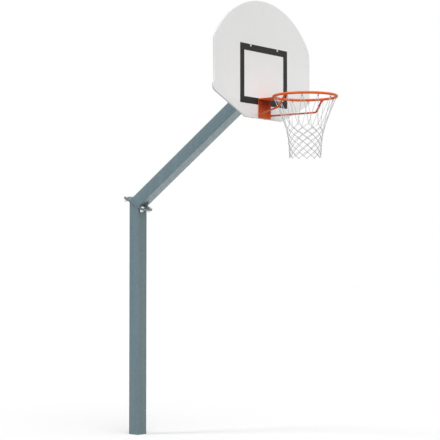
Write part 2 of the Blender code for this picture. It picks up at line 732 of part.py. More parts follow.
def make_net():
    """Long loops over the hooks, then rows of diamonds, as one lattice of cords.

    The faces are the gaps of the net, and the Wireframe modifier turns their edges into cords.
    """
    builder = bmesh.new()
    rod_drop = RING_BAR_RADIUS + GAP + HOOK_DROP + HOOK_BEND_RADIUS
    wrap = HOOK_ROD / 2 + NET_SEAT_GAP + NET_CORD / 2
    half_step = math.pi / NET_LOOPS
    wraps = []
    for _, angle in loop_angles():
        over = []
        for x, y in arc((0.0, 0.0), wrap, math.pi, 0.0, 4):
            point = ring_point(angle + x / NET_SEAT_RADIUS, NET_SEAT_RADIUS, rod_drop - y)
            over.append(builder.verts.new(point))
        wraps.append(over)
    rows = []
    for row in range(NET_MESH_ROWS + 1):
        drop = NET_LOOP_DROP + (NET_LENGTH - NET_LOOP_DROP) * row / NET_MESH_ROWS
        shift = half_step if row % 2 == 0 else 0.0
        radius = net_radius(drop)
        rows.append([builder.verts.new(ring_point(a + shift, radius, drop)) for _, a in loop_angles()])
    for i in range(NET_LOOPS):
        builder.faces.new((*wraps[i][::-1], rows[0][i - 1], rows[1][i], rows[0][i]))
    for row in range(NET_MESH_ROWS - 1):
        step = 1 if row % 2 == 0 else 0
        upper, middle, lower = rows[row], rows[row + 1], rows[row + 2]
        for i in range(NET_LOOPS):
            j = (i + step) % NET_LOOPS
            builder.faces.new((upper[i], middle[j - 1], lower[i], middle[j]))
    white = material("net_white", (0.85, 0.85, 0.86), 0.8)
    net = object_from("net", builder, white)
    cords = net.modifiers.new("cords", "WIREFRAME")
    cords.thickness = NET_CORD
    cords.offset = 0.0
    cords.use_even_offset = True
    cords.use_boundary = True
    cords.use_replace = True


def make_bracket():
    """The folded channel behind the board, web on the board's back and flanges to the rear."""
    half = BRACKET_WIDTH / 2
    wall = BRACKET_WALL
    outer = BRACKET_CORNER
    inner = outer - wall
    outline = [(half, BRACKET_DEPTH), (half - wall, BRACKET_DEPTH)]
    outline += arc((half - outer, outer), inner, 0.0, -math.pi / 2, 3)
    outline += arc((-half + outer, outer), inner, -math.pi / 2, -math.pi, 3)
    outline += [(-half + wall, BRACKET_DEPTH), (-half, BRACKET_DEPTH)]
    outline += arc((-half + outer, outer), outer, -math.pi, -math.pi / 2, 3)
    outline += arc((half - outer, outer), outer, -math.pi / 2, 0.0, 3)
    foot = BOARD_FOOT_Z + BRACKET_FOOT
    place = Matrix.Translation((0, BRACKET_FRONT_Y, 0))
    top = CROSSBAR_FOOT_Z - GAP
    channel = extruded("board_bracket", outline, place, foot, top, galvanised("galvanised_bracket"))
    drill_for_ring_bolts(channel)


def make_crossbar():
    """The angle bar across the channel's top, one leg on the board's back, with the two upper bolts."""
    leg = CROSSBAR_LEG
    wall = CROSSBAR_WALL
    outline = [(0.0, 0.0), (leg, 0.0), (leg, wall), (wall, wall), (wall, leg), (0.0, leg)]
    side = Matrix(((0, 0, 1), (1, 0, 0), (0, 1, 0))).to_4x4()
    side = Matrix.Translation((0, BRACKET_FRONT_Y, CROSSBAR_FOOT_Z)) @ side
    half = CROSSBAR_LENGTH / 2
    finish = galvanised("galvanised_crossbar")
    bar = extruded("board_crossbar", outline, side, -half, half, finish, PLATE_EDGE_ROUND)
    stack = BRACKET_FRONT_Y + wall - MARKING_FRONT_Y
    drill_for_board_bolts(bar)
    for side, place in board_bolt_places():
        seat = frame_at(place, Vector((0, -1, 0)), Vector((1, 0, 0)))
        names = (f"board_bolt_{side}", f"board_washer_{side}", f"board_nut_{side}")
        fastener_set(names, seat, BOARD_BOLT_DIAMETER, stack, dome_bolt)


def triangulate_cut_faces():
    """Divides the faces that holes go through evenly, so that none comes out as a thin sliver."""
    for obj in bpy.data.objects:
        if any(modifier.type == "BOOLEAN" for modifier in obj.modifiers):
            even = obj.modifiers.new("even_triangles", "TRIANGULATE")
            even.quad_method = "BEAUTY"
            even.ngon_method = "BEAUTY"


clear_scene()
make_post()
make_flanges()
make_boom()
make_gusset()
make_board()
make_target()
make_ring_plate()
make_ring()
make_hooks()
make_net()
make_bracket()
make_crossbar()
triangulate_cut_faces()
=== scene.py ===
"""Looks of the in-ground basketball hoop: galvanised steel, gel-coated board, braced ring and cord net."""

import math
import random

import bpy
from mathutils import Matrix, Vector


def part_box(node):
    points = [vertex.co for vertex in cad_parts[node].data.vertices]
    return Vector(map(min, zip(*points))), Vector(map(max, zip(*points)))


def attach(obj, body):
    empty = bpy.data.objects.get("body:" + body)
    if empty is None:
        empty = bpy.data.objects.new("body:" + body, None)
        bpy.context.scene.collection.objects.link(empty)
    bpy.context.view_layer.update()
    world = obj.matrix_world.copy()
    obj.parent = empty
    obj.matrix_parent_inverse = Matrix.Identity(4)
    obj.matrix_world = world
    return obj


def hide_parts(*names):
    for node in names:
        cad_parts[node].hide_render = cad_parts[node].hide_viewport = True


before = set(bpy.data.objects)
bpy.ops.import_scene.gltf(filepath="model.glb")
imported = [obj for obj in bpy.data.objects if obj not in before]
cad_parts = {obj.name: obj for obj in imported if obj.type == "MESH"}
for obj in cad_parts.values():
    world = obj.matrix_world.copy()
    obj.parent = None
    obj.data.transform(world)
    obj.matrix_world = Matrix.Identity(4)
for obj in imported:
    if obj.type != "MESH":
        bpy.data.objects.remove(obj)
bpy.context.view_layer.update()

FULL_TURN = 2 * math.pi
RIGHT = Vector((1, 0, 0))
BACK = Vector((0, 1, 0))
UP = Vector((0, 0, 1))


def middle(node_name):
    """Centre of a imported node's box."""
    low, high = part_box(node_name)
    return (low + high) / 2


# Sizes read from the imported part, in metres
board_low, board_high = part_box("backboard")
plate_low, plate_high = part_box("ring_plate")
bracket_low, bracket_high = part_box("board_bracket")
BOARD_FACE_Y = board_low.y
BOARD_FOOT_Z = board_low.z
BOARD_HEIGHT = board_high.z - board_low.z
BOARD_THICKNESS = board_high.y - board_low.y
MARKING_FRONT_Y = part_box("target_marking")[0].y
PLATE_HALF_WIDTH = plate_high.x
PLATE_TOP_Z = plate_high.z
PLATE_FOOT_Z = plate_low.z
RING_CENTRE_Y = round(middle("ring_bar").y, 5)  # the frame holds single precision
RING_HEIGHT = round(middle("ring_bar").z, 5)
BRACKET_FRONT_Y = bracket_low.y
BRACKET_HALF_WIDTH = bracket_high.x
CROSSBAR_FOOT_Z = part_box("board_crossbar")[0].z
TUBE_SIZE = 2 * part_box("post_tube")[1].x
GUSSET_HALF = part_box("joint_gusset")[1].x

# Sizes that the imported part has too, in metres
GAP = 0.0003
BOOM_ANGLE = math.radians(35.0)
BOOM_SEAT_RISE = 0.294  # board's bottom edge to the boom's axis, at the bracket
TUBE_CORNER = 0.005
FLANGE_THICKNESS = 0.008
FLANGE_BOLT_SPREAD = 0.090
FLANGE_BOLT_OFF_TUBE = 0.0416  # tube's face to the bolt's centre, along the mitre
GUSSET_FOOT = 0.046
GUSSET_RISE = 0.058
BRACKET_WALL = 0.005
CROSSBAR_WALL = 0.004
BOARD_HALF_WIDTH = 0.600
BOARD_HALF_FLAT = 0.230
BOARD_FLAT_BLEND = 0.060  # radius where the flat bottom meets the slope
BOARD_SIDE_FOOT = 0.168  # where the slope meets the side's line, above the bottom
BOARD_LOBE_RADIUS = 0.048
BOARD_LOBE_SWELL = 0.012  # how far the lower corners stand out past the straight sides
BOARD_TOP_RADIUS = 0.707
PLATE_THICKNESS = 0.006
RING_RADIUS = 0.235
BAR_RADIUS = 0.010
BRACE_RADIUS = 0.007
BRACE_RING_ANGLE = math.radians(92.0)  # from the ring's front point
BRACE_ELBOW_OUTSET = 0.005
BRACE_ELBOW_BACK = 0.061
BRACE_DROP = 0.094
BRACE_BEND_RADIUS = 0.022
BRACE_FOOT_HALF_SPREAD = 0.067
BRACE_FOOT_RISE = 0.0265
ANCHOR_RADIUS = 0.008
HOOK_RADIUS = 0.002
HOOK_BEND_RADIUS = 0.0065
HOOK_DROP = 0.004
NET_LOOPS = 12
NET_ROWS = 9
NET_SEAT_GAP = 0.0009
NET_CORD_RADIUS = 0.002
NET_LOOP_DROP = 0.217  # ring's centre plane down to the first row of knots
NET_LENGTH = 0.454  # ring's centre plane down to the last row of knots
NET_WAIST_INSET = 0.0785  # hooks' circle to the first row of knots
NET_MOUTH_INSET = 0.031  # first row of knots to the last
NET_TAPER_POWER = 2.25

# Places that follow from them
BRACKET_BACK_Y = BRACKET_FRONT_Y + BRACKET_WALL
PLATE_FRONT_Y = plate_high.y - PLATE_THICKNESS
BOOM_DIRECTION = Vector((0, -math.cos(BOOM_ANGLE), math.sin(BOOM_ANGLE)))
BOOM_UNDERSIDE = Vector((0, -math.sin(BOOM_ANGLE), -math.cos(BOOM_ANGLE)))
BOOM_END_Y = BRACKET_BACK_Y + GAP
JOINT = UP * (BOARD_FOOT_Z + BOOM_SEAT_RISE + BOOM_END_Y * math.tan(BOOM_ANGLE))
MITRE_TILT = (math.pi / 2 - BOOM_ANGLE) / 2
MITRE_NORMAL = Vector((0, -math.sin(MITRE_TILT), math.cos(MITRE_TILT)))
MITRE_ALONG = Vector((0, -math.cos(MITRE_TILT), -math.sin(MITRE_TILT)))
FLANGE_STACK = 2 * FLANGE_THICKNESS + GAP
TUBE_CUT = FLANGE_STACK / 2 + GAP  # mitre plane to a tube's cut end
FLANGE_BOLT_PITCH = TUBE_SIZE / math.cos(MITRE_TILT) + 2 * FLANGE_BOLT_OFF_TUBE
HOOK_START = BAR_RADIUS + GAP  # ring's centre plane down to a hook's top
HOOK_AXIS_DROP = HOOK_START + HOOK_DROP + HOOK_BEND_RADIUS  # to the rod's axis under its bend
NET_SEAT_RADIUS = RING_RADIUS - HOOK_BEND_RADIUS
NET_WRAP = HOOK_RADIUS + NET_SEAT_GAP + NET_CORD_RADIUS  # radius of a loop's turn over its hook
NET_WAIST_RADIUS = NET_SEAT_RADIUS - NET_WAIST_INSET


# Shader nodes


def feed(tree, socket, value):
    """Links another node's socket, or sets a number or a tuple."""
    if isinstance(value, bpy.types.NodeSocket):
        tree.links.new(value, socket)
    else:
        socket.default_value = value


def node(tree, kind, settings=None, **inputs):
    """Adds a shader node. An input goes by its name, or by i and its number."""
    made = tree.nodes.new("ShaderNode" + kind)
    for key, value in (settings or {}).items():
        setattr(made, key, value)
    for key, value in inputs.items():
        numbered = key[0] == "i" and key[1:].isdigit()
        feed(tree, made.inputs[int(key[1:]) if numbered else key], value)
    return made


def math_node(tree, operation, a, b=0.0, clamp=False):
    return node(tree, "Math", {"operation": operation, "use_clamp": clamp}, i0=a, i1=b).outputs[0]


def vector_node(tree, operation, a, **inputs):
    return node(tree, "VectorMath", {"operation": operation}, i0=a, **inputs)


def object_place(tree, turn=0.0, stretch=(1, 1, 1)):
    """Metres in the shared frame, turned about X and then stretched."""
    coordinates = node(tree, "TexCoord").outputs["Object"]
    return node(tree, "Mapping", Vector=coordinates, Rotation=(turn, 0, 0), Scale=stretch).outputs[0]


def surface_normal(tree):
    return node(tree, "TexCoord").outputs["Normal"]


def noise(tree, place, scale, detail=3.0, roughness=0.5, distortion=0.0):
    grain = {"Scale": scale, "Detail": detail, "Roughness": roughness, "Distortion": distortion}
    return node(tree, "TexNoise", Vector=place, **grain).outputs["Fac"]


def spread(tree, value, low, high, start=0.3, end=0.7):
    """Maps start..end, a noise's middle range if none is given, to low..high."""
    ends = {"From Min": start, "From Max": end, "To Min": low, "To Max": high}
    return node(tree, "MapRange", Value=value, **ends).outputs[0]


def mix_colour(tree, factor, dark, light):
    """From dark to light by a factor. A colour is a tuple or a socket."""
    made = node(tree, "Mix", {"data_type": "RGBA"}, i0=factor)
    for number, value in ((6, dark), (7, light)):
        feed(tree, made.inputs[number], (*value, 1.0) if isinstance(value, tuple) else value)
    return made.outputs[2]


def bump(tree, height, distance, below=None):
    """A normal from a height in metres, on top of another normal if one is given."""
    made = node(tree, "Bump", Height=height, Distance=distance, Strength=1.0)
    if below is not None:
        tree.links.new(below, made.inputs["Normal"])
    return made.outputs[0]


def facing(tree, direction, start, end):
    """0 to 1 as the surface turns towards a direction of the shared frame."""
    cosine = vector_node(tree, "DOT_PRODUCT", surface_normal(tree), i1=direction).outputs["Value"]
    return spread(tree, cosine, 0.0, 1.0, start, end)


def painted_corner_shade(tree, turn):
    """0.25 on a square tube's rounded corners, for painted shade along its edges, and 0 on its flats."""
    rotated = {"Vector": surface_normal(tree), "Rotation": (turn, 0, 0)}
    upright = node(tree, "Mapping", {"vector_type": "NORMAL"}, **rotated).outputs[0]
    sides = node(tree, "SeparateXYZ", Vector=upright).outputs
    product = math_node(tree, "ABSOLUTE", math_node(tree, "MULTIPLY", sides[0], sides[1]))
    return spread(tree, product, 0.0, 0.25, 0.06, 0.30)


def start_material(name, colour, roughness, metallic=0.0, **sockets):
    made = bpy.data.materials.new(name)
    made.use_nodes = True
    made.diffuse_color = (*colour, 1.0)
    shader = made.node_tree.nodes["Principled BSDF"]
    shader.inputs["Base Color"].default_value = (*colour, 1.0)
    shader.inputs["Roughness"].default_value = roughness
    shader.inputs["Metallic"].default_value = metallic
    for key, value in sockets.items():
        shader.inputs[key.replace("_", " ")].default_value = value
    return made, made.node_tree, shader


def wire(tree, shader, colour, normal, roughness=None):
    """Links the textures of a coat to its shader."""
    for name, socket in (("Base Color", colour), ("Normal", normal), ("Roughness", roughness)):
        if socket is not None:
            tree.links.new(socket, shader.inputs[name])


# Materials

ZINC_TONES = ((0.116, 0.175, 0.206), (0.175, 0.255, 0.292))
ZINC_BAND = (0.150, 0.196, 0.196)
# Painted shade on a square tube's rounded corners
PAINTED_CORNER_SHADE = (0.085, 0.110, 0.115)
FERN_AXIS = (0.4, 0.5, 0.77)
FERN_TURN = 6.283  # radians, the most that a spangle's pattern is turned


def scaled(colour, factor):
    return tuple(channel * factor for channel in colour)


def galvanised(name, turn=0.0, spangle=62.0, lightness=1.0, facing_tones=None, band=ZINC_BAND, banded=0.55):
    """Hot-dip zinc: spangle, cloudy patches, drain streaks along the tube and a faintly lumpy skin.

    Turn lays the streaks along the piece. Facing tones are a direction and two tones, for the faces that
    look that way, and they also bring painted shade on the rounded corners. Band is the tone of broad bands,
    and banded is the most that they cover.
    """
    dark, light = (scaled(tone, lightness) for tone in ZINC_TONES)
    made, tree, shader = start_material(name, light, 0.46, 0.55)
    place = object_place(tree, turn)
    warp = node(tree, "TexNoise", Vector=place, Scale=38.0, Detail=2.0).outputs["Color"]
    bent = vector_node(tree, "SCALE", warp, Scale=0.012).outputs[0]
    moved = vector_node(tree, "ADD", place, i1=bent).outputs[0]
    cells = node(tree, "TexVoronoi", Vector=moved, Scale=spangle)
    cell = node(tree, "SeparateColor", Color=cells.outputs["Color"]).outputs
    angle = math_node(tree, "MULTIPLY", cell[1], FERN_TURN)
    by_axis = {"rotation_type": "AXIS_ANGLE"}
    turned_place = node(tree, "VectorRotate", by_axis, Vector=moved, Axis=FERN_AXIS, Angle=angle).outputs[0]
    fern_place = node(tree, "Mapping", Vector=turned_place, Scale=(1, 9, 3)).outputs[0]
    fern = noise(tree, fern_place, 120.0, 3.0, 0.6)
    cloud = noise(tree, place, 4.0, 4.0, 0.55, 0.4)
    streak = noise(tree, object_place(tree, turn, (26, 26, 0.7)), 1.0, 4.0, 0.6)
    tone = math_node(tree, "MULTIPLY", cell[0], 0.34)
    tone = math_node(tree, "ADD", tone, spread(tree, fern, 0.0, 0.20))
    tone = math_node(tree, "ADD", tone, spread(tree, cloud, 0.0, 0.14))
    tone = math_node(tree, "ADD", tone, spread(tree, streak, 0.0, 0.42), clamp=True)
    colour = mix_colour(tree, tone, dark, light)
    bands = noise(tree, object_place(tree, turn, (19, 19, 0.5)), 1.0, 2.0)
    colour = mix_colour(tree, spread(tree, bands, 0.0, banded), colour, band)
    # Faces that look the given way get the two given tones: painted shade on the post's front, painted light
    # on the boom's underside, a lighter grey on the flange ears' ends.
    if facing_tones:
        direction, facing_dark, facing_light = facing_tones
        facing_colour = mix_colour(tree, tone, facing_dark, facing_light)
        colour = mix_colour(tree, facing(tree, direction, 0.80, 0.97), colour, facing_colour)
        # Painted shade: the rounded corners are darkened for the shade along the tube's edges.
        colour = mix_colour(tree, painted_corner_shade(tree, turn), colour, PAINTED_CORNER_SHADE)
    cell_rough = spread(tree, cell[2], 0.38, 0.50, 0.0, 1.0)
    rough = math_node(tree, "ADD", cell_rough, spread(tree, cloud, 0.0, 0.08))
    lumps = bump(tree, noise(tree, place, 26.0), 0.0005)
    grain = bump(tree, cell[0], 0.00006, lumps)
    wire(tree, shader, colour, bump(tree, fern, 0.00008, grain), rough)
    return made


def weld_metal(name, dark, light, metallic, roughness):
    """A weld run under the same coat as the piece beside it, with small pits and spatter tone."""
    made, tree, shader = start_material(name, light, roughness, metallic)
    place = object_place(tree)
    tone = spread(tree, noise(tree, place, 240.0, 4.0), 0.0, 1.0)
    pits = bump(tree, noise(tree, place, 620.0), 0.0003)
    wire(tree, shader, mix_colour(tree, tone, dark, light), pits)
    return made


def bright_zinc(name, dull=0.0):
    """Electro-zinc: faintly clouded, with fine tool marks. Dull is its share of grey."""
    made, tree, shader = start_material(name, (0.84, 0.85, 0.86), 0.26, 0.9)
    place = object_place(tree)
    cloud = spread(tree, noise(tree, place, 90.0, 4.0), 0.0, 1.0)
    colour = mix_colour(tree, cloud, (0.72, 0.73, 0.73), (0.93, 0.94, 0.95))
    colour = mix_colour(tree, dull, colour, (0.30, 0.31, 0.31))
    rough = spread(tree, noise(tree, place, 260.0, 4.0), 0.22, 0.42)
    marks = noise(tree, object_place(tree, 0.0, (1, 6, 1)), 900.0, 2.0)
    wire(tree, shader, colour, bump(tree, marks, 0.00005), rough)
    return made


def orange_coat(name, painted_shade_below=None, depth=1.0):
    """Powder coat: orange peel, slight patches of gloss and tone, a little dust in the fine scale.

    Below a given height the front faces are duller and carry painted shade, darkest just under the plate's
    top leg. Depth below 1 darkens the whole coat, as painted shade for parts that are lit less.
    """
    gloss = 0.05 if painted_shade_below else 0.16
    made, tree, shader = start_material(name, (0.70, 0.130, 0.040), 0.42, 0.0, Specular_IOR_Level=gloss)
    place = object_place(tree)
    patch = noise(tree, place, 14.0, 5.0, 0.6)
    speck = spread(tree, noise(tree, place, 520.0, 2.0), 0.0, 0.3)
    tone = math_node(tree, "ADD", spread(tree, patch, 0.0, 0.7), speck, clamp=True)
    colour = mix_colour(tree, tone, scaled((0.67, 0.102, 0.022), depth), scaled((0.80, 0.155, 0.038), depth))
    if painted_shade_below:
        # Painted shade: the front is painted darker towards the top leg, for the shadow the leg casts there.
        height = node(tree, "SeparateXYZ", Vector=place).outputs[2]
        ragged = math_node(tree, "ADD", height, spread(tree, patch, -0.012, 0.012))
        shade = spread(tree, ragged, 0.0, 1.0, painted_shade_below - 0.150, painted_shade_below - 0.030)
        front = math_node(tree, "MULTIPLY", shade, facing(tree, (0.0, -1.0, 0.0), 0.6, 0.9))
        painted_shade_tone = mix_colour(tree, tone, (0.235, 0.019, 0.002), (0.320, 0.030, 0.003))
        colour = mix_colour(tree, front, colour, painted_shade_tone)
    peel = bump(tree, noise(tree, place, 420.0, 2.0), 0.00012)
    wire(tree, shader, colour, peel, spread(tree, patch, 0.36, 0.50))
    return made


def gel_coat(name):
    """White gel coat: almost even, faintly cloudy, wavy at arm's length, with painted shade greying its edge
    faces.
    """
    made, tree, shader = start_material(name, (0.76, 0.76, 0.755), 0.31, 0.0, Specular_IOR_Level=0.4)
    place = object_place(tree)
    cloud = spread(tree, noise(tree, place, 3.2, 5.0, 0.55), 0.0, 0.75)
    fine = noise(tree, place, 150.0)
    tone = math_node(tree, "ADD", cloud, spread(tree, fine, 0.0, 0.25), clamp=True)
    colour = mix_colour(tree, tone, (0.735, 0.737, 0.735), (0.773, 0.773, 0.768))
    # Painted shade: edge faces turned away from front and back are painted grey, for the shade along the
    # rim.
    along_y = node(tree, "SeparateXYZ", Vector=surface_normal(tree)).outputs[1]
    rim = spread(tree, math_node(tree, "ABSOLUTE", along_y), 0.45, 0.0, 0.35, 0.85)
    colour = mix_colour(tree, rim, colour, (0.50, 0.50, 0.50))
    rough = spread(tree, noise(tree, place, 9.0, 6.0, 0.65), 0.26, 0.36)
    wave = bump(tree, noise(tree, place, 7.0, 2.0), 0.0010)
    wire(tree, shader, colour, bump(tree, fine, 0.00006, wave), rough)
    return made


def black_marking(name):
    """Black moulded-in marking, worn a little grey in patches."""
    made, tree, shader = start_material(name, (0.017, 0.017, 0.017), 0.55, 0.0, Specular_IOR_Level=0.16)
    place = object_place(tree)
    worn = noise(tree, place, 24.0, 6.0, 0.7)
    colour = mix_colour(tree, spread(tree, worn, 0.0, 1.0), (0.013, 0.013, 0.013), (0.024, 0.023, 0.022))
    grain = bump(tree, noise(tree, place, 300.0, 2.0), 0.00006)
    wire(tree, shader, colour, grain, spread(tree, worn, 0.44, 0.60))
    return made


def white_cord(name):
    """Twisted polyester cord: soft sheen, fine fibres and a little dirt."""
    sheen = {"Sheen_Weight": 0.25, "Sheen_Roughness": 0.45}
    made, tree, shader = start_material(name, (0.74, 0.745, 0.755), 0.75, 0.0, **sheen)
    place = object_place(tree)
    dirt = spread(tree, noise(tree, place, 55.0, 4.0, 0.6), 0.0, 0.65)
    fibre = noise(tree, place, 2600.0, 2.0)
    tone = math_node(tree, "ADD", dirt, spread(tree, fibre, 0.0, 0.35), clamp=True)
    colour = mix_colour(tree, tone, (0.56, 0.565, 0.58), (0.745, 0.745, 0.75))
    wire(tree, shader, colour, bump(tree, fibre, 0.00010))
    return made


# Painted shade: the post's front faces get darker, less blue tones for the shade they are in.
POST_FRONT_PAINTED_SHADE = ((0.0, -1.0, 0.0), (0.120, 0.167, 0.179), (0.171, 0.231, 0.243))
# Painted light: the boom's underside gets much lighter tones for the light thrown up from the floor.
BOOM_UNDER_PAINTED_LIGHT = (BOOM_UNDERSIDE[:], (0.240, 0.302, 0.320), (0.366, 0.434, 0.450))
# The flange ears' ends that face along the mitre are a lighter grey.
FLANGE_END_TONES = (MITRE_ALONG[:], (0.235, 0.243, 0.236), (0.320, 0.328, 0.320))
STEEL_POST = galvanised("galvanised_post", facing_tones=POST_FRONT_PAINTED_SHADE)
STEEL_BOOM = galvanised("galvanised_boom", turn=math.pi / 2 - BOOM_ANGLE, facing_tones=BOOM_UNDER_PAINTED_LIGHT)
STEEL_PLATE = galvanised("galvanised_plate", turn=math.radians(20), spangle=75.0, lightness=0.97)
STEEL_FLANGE = galvanised(
    "galvanised_flange", 0.35, 75.0, 0.92, FLANGE_END_TONES, band=(0.165, 0.176, 0.164), banded=0.70
)
STEEL_WELD = weld_metal("galvanised_weld", (0.13, 0.175, 0.195), (0.22, 0.28, 0.30), 0.5, 0.5)
ORANGE = orange_coat("orange_powder_coat")
# The plate's coat carries painted shade under its top leg.
ORANGE_PLATE = orange_coat("orange_plate_coat", PLATE_TOP_Z)
# Painted shade: the braces take the same orange made 20% darker, for the shade they are in.
ORANGE_ROD = orange_coat("orange_rod_coat", depth=0.80)
ORANGE_WELD = weld_metal("orange_weld", (0.63, 0.098, 0.023), (0.77, 0.147, 0.040), 0.0, 0.45)
ZINC = bright_zinc("bright_zinc")
ZINC_DULL = bright_zinc("dulled_zinc", 0.75)
GEL = gel_coat("white_gel_coat")
BLACK = black_marking("black_marking")
CORD = white_cord("white_cord")


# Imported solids: each gets a finish, by the start of its name, and even shading

FINISHES = {
    "post_tube": STEEL_POST,
    "boom_tube": STEEL_BOOM,
    "post_flange": STEEL_FLANGE,
    "boom_flange": STEEL_FLANGE,
    "joint_gusset": STEEL_PLATE,
    "anchor_bar": STEEL_PLATE,
    "board_bracket": STEEL_PLATE,
    "board_crossbar": STEEL_PLATE,
    "backboard": GEL,
    "target_marking": BLACK,
    "ring_plate": ORANGE_PLATE,
    "ring_bar": ORANGE,
    "ring_brace": ORANGE,
    "net_hook": ORANGE,
    "net": CORD,
}
MERGE_DISTANCE = 0.000005
FLAT_LIMIT = math.radians(30)


def even_shading_group():
    """Joins the triangles' shared corners and shades smooth up to the flat limit. No point moves."""
    group = bpy.data.node_groups.new("even_shading", "GeometryNodeTree")
    group.interface.new_socket("Geometry", in_out="INPUT", socket_type="NodeSocketGeometry")
    group.interface.new_socket("Geometry", in_out="OUTPUT", socket_type="NodeSocketGeometry")
    start = group.nodes.new("NodeGroupInput")
    merge = group.nodes.new("GeometryNodeMergeByDistance")
    merge.inputs["Distance"].default_value = MERGE_DISTANCE
    edge = group.nodes.new("GeometryNodeInputMeshEdgeAngle")
    limit = group.nodes.new("FunctionNodeCompare")
    limit.data_type = "FLOAT"
    limit.operation = "GREATER_THAN"
    limit.inputs[1].default_value = FLAT_LIMIT
    normals = group.nodes.new("GeometryNodeSetMeshNormal")
    normals.inputs["Remove Custom"].default_value = True
    end = group.nodes.new("NodeGroupOutput")
    group.links.new(start.outputs[0], merge.inputs["Geometry"])
    group.links.new(edge.outputs["Unsigned Angle"], limit.inputs[0])
    group.links.new(merge.outputs[0], normals.inputs["Mesh"])
    group.links.new(limit.outputs[0], normals.inputs["Edge Sharpness"])
    group.links.new(normals.outputs[0], end.inputs[0])
    return group


def dress_packed_nodes():
    shading = even_shading_group()
    for node_name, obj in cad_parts.items():
        finish = next((look for start, look in FINISHES.items() if node_name.startswith(start)), ZINC)
        obj.data.materials.clear()
        obj.data.materials.append(finish)
        modifier = obj.modifiers.new("even_shading", "NODES")
        modifier.node_group = shading


# Mesh tools


class Soup:
    """Collects skinned runs into one mesh. A run is rows of equally many points."""

    def __init__(self):
        self.points = []
        self.faces = []

    def add(self, rows, closed_path=False):
        """Skins a run. A run with a closed path has no caps."""
        first = len(self.points)
        count = len(rows[0])
        for row in rows:
            self.points += row
        for r in range(len(rows) if closed_path else len(rows) - 1):
            low = first + r * count
            high = first + ((r + 1) % len(rows)) * count
            for i in range(count):
                j = (i + 1) % count
                self.faces.append((low + i, low + j, high + j, high + i))
        if not closed_path:
            last = first + (len(rows) - 1) * count
            self.faces.append(tuple(range(first, first + count))[::-1])
            self.faces.append(tuple(range(last, last + count)))


def add_object(name, data):
    obj = bpy.data.objects.new(name, data)
    bpy.context.scene.collection.objects.link(obj)
    return obj


def piece(name, soup, finish, slot, replaced=None, smooth=math.radians(40)):
    """A named mesh that rides on the post. Its slot argument is not used."""
    mesh = bpy.data.meshes.new(name)
    mesh.from_pydata([tuple(p) for p in soup.points], [], soup.faces)
    mesh.validate()
    mesh.materials.append(finish)
    mesh.shade_smooth()
    mesh.set_sharp_from_angle(angle=smooth)
    obj = add_object(name, mesh)
    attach(obj, "root")
    if replaced:
        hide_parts(replaced)


def lone_piece(name, rows, closed_path, *details):
    """A piece that is one run. The details are those of a piece, from its finish on."""
    soup = Soup()
    soup.add(rows, closed_path)
    piece(name, soup, *details)


def spaced(points, step, closed=False):
    """The path's points again at even steps along it, and the path's length."""
    points = [Vector(p) for p in points]
    if closed:
        points.append(points[0])
    lengths = [0.0]
    for a, b in zip(points, points[1:]):
        lengths.append(lengths[-1] + (b - a).length)
    total = lengths[-1]
    count = max(2, round(total / step))
    found = []
    k = 0
    for i in range(count if closed else count + 1):
        at = total * i / count
        while k < len(points) - 2 and lengths[k + 1] < at:
            k += 1
        share = (at - lengths[k]) / max(1e-9, lengths[k + 1] - lengths[k])
        found.append(points[k].lerp(points[k + 1], share))
    return found, total


def smooth_path(points, steps):
    """A Catmull-Rom curve through the points, with so many steps between two."""
    points = [Vector(p) for p in points]
    ends = [points[0] * 2 - points[1]] + points + [points[-1] * 2 - points[-2]]
    found = []
    for a, b, c, d in zip(ends, ends[1:], ends[2:], ends[3:]):
        for i in range(steps):
            t = i / steps
            square = (2 * a - 5 * b + 4 * c - d) * t * t
            cube = (3 * b - a - 3 * c + d) * t ** 3
            found.append(0.5 * (2 * b + (c - a) * t + square + cube))
    found.append(points[-1])
    return found


def sweep(path, section, closed=False, spin=0.0):
    """Rows of points: the section carried along the path without twisting, plus spin radians a metre.

    The section is a function of the row's number that gives (x, y) pairs.
    """
    count = len(path)
    tangents = []
    for i in range(count):
        before = path[i - 1] if closed else path[max(i - 1, 0)]
        after = path[(i + 1) % count] if closed else path[min(i + 1, count - 1)]
        tangents.append((after - before).normalized())
    side = tangents[0].orthogonal().normalized()
    sides = []
    for tangent in tangents:
        side = (side - tangent * side.dot(tangent)).normalized()
        sides.append(side.copy())
    untwist = 0.0
    if closed:
        last = (sides[-1] - tangents[0] * sides[-1].dot(tangents[0])).normalized()
        untwist = last.angle(sides[0])
        untwist *= 1 if last.cross(sides[0]).dot(tangents[0]) > 0 else -1
    rows = []
    travelled = 0.0
    for i, (point, tangent, side) in enumerate(zip(path, tangents, sides)):
        if i:
            travelled += (point - path[i - 1]).length
        other = tangent.cross(side)
        turn = spin * travelled + untwist * i / count
        c, s = math.cos(turn), math.sin(turn)
        rows.append([point + side * (x * c - y * s) + other * (x * s + y * c) for x, y in section(i)])
    return rows


def circle(radius, count):
    turns = [FULL_TURN * i / count for i in range(count)]
    return [(radius * math.cos(turn), radius * math.sin(turn)) for turn in turns]


def ring_round(centre, across, other, radius, count):
    """Points of a circle in space, across and other being unit vectors of its plane."""
    return [centre + across * x + other * y for x, y in circle(radius, count)]


def arc(centre, radius, start, end, steps):
    turns = [start + (end - start) * i / steps for i in range(steps + 1)]
    return [Vector((centre[0] + radius * math.cos(a), centre[1] + radius * math.sin(a))) for a in turns]


def rounded_square(size, radius):
    reach = size / 2 - radius
    points = []
    for quarter, (x, y) in enumerate(((1, 1), (-1, 1), (-1, -1), (1, -1))):
        start = quarter * math.pi / 2
        points += arc((x * reach, y * reach), radius, start, start + math.pi / 2, 5)
    return points


def on_plane(point, direction, plane_point, plane_normal):
    """Where a line from the point meets a plane."""
    reach = (plane_point - point).dot(plane_normal) / direction.dot(plane_normal)
    return point + direction * reach


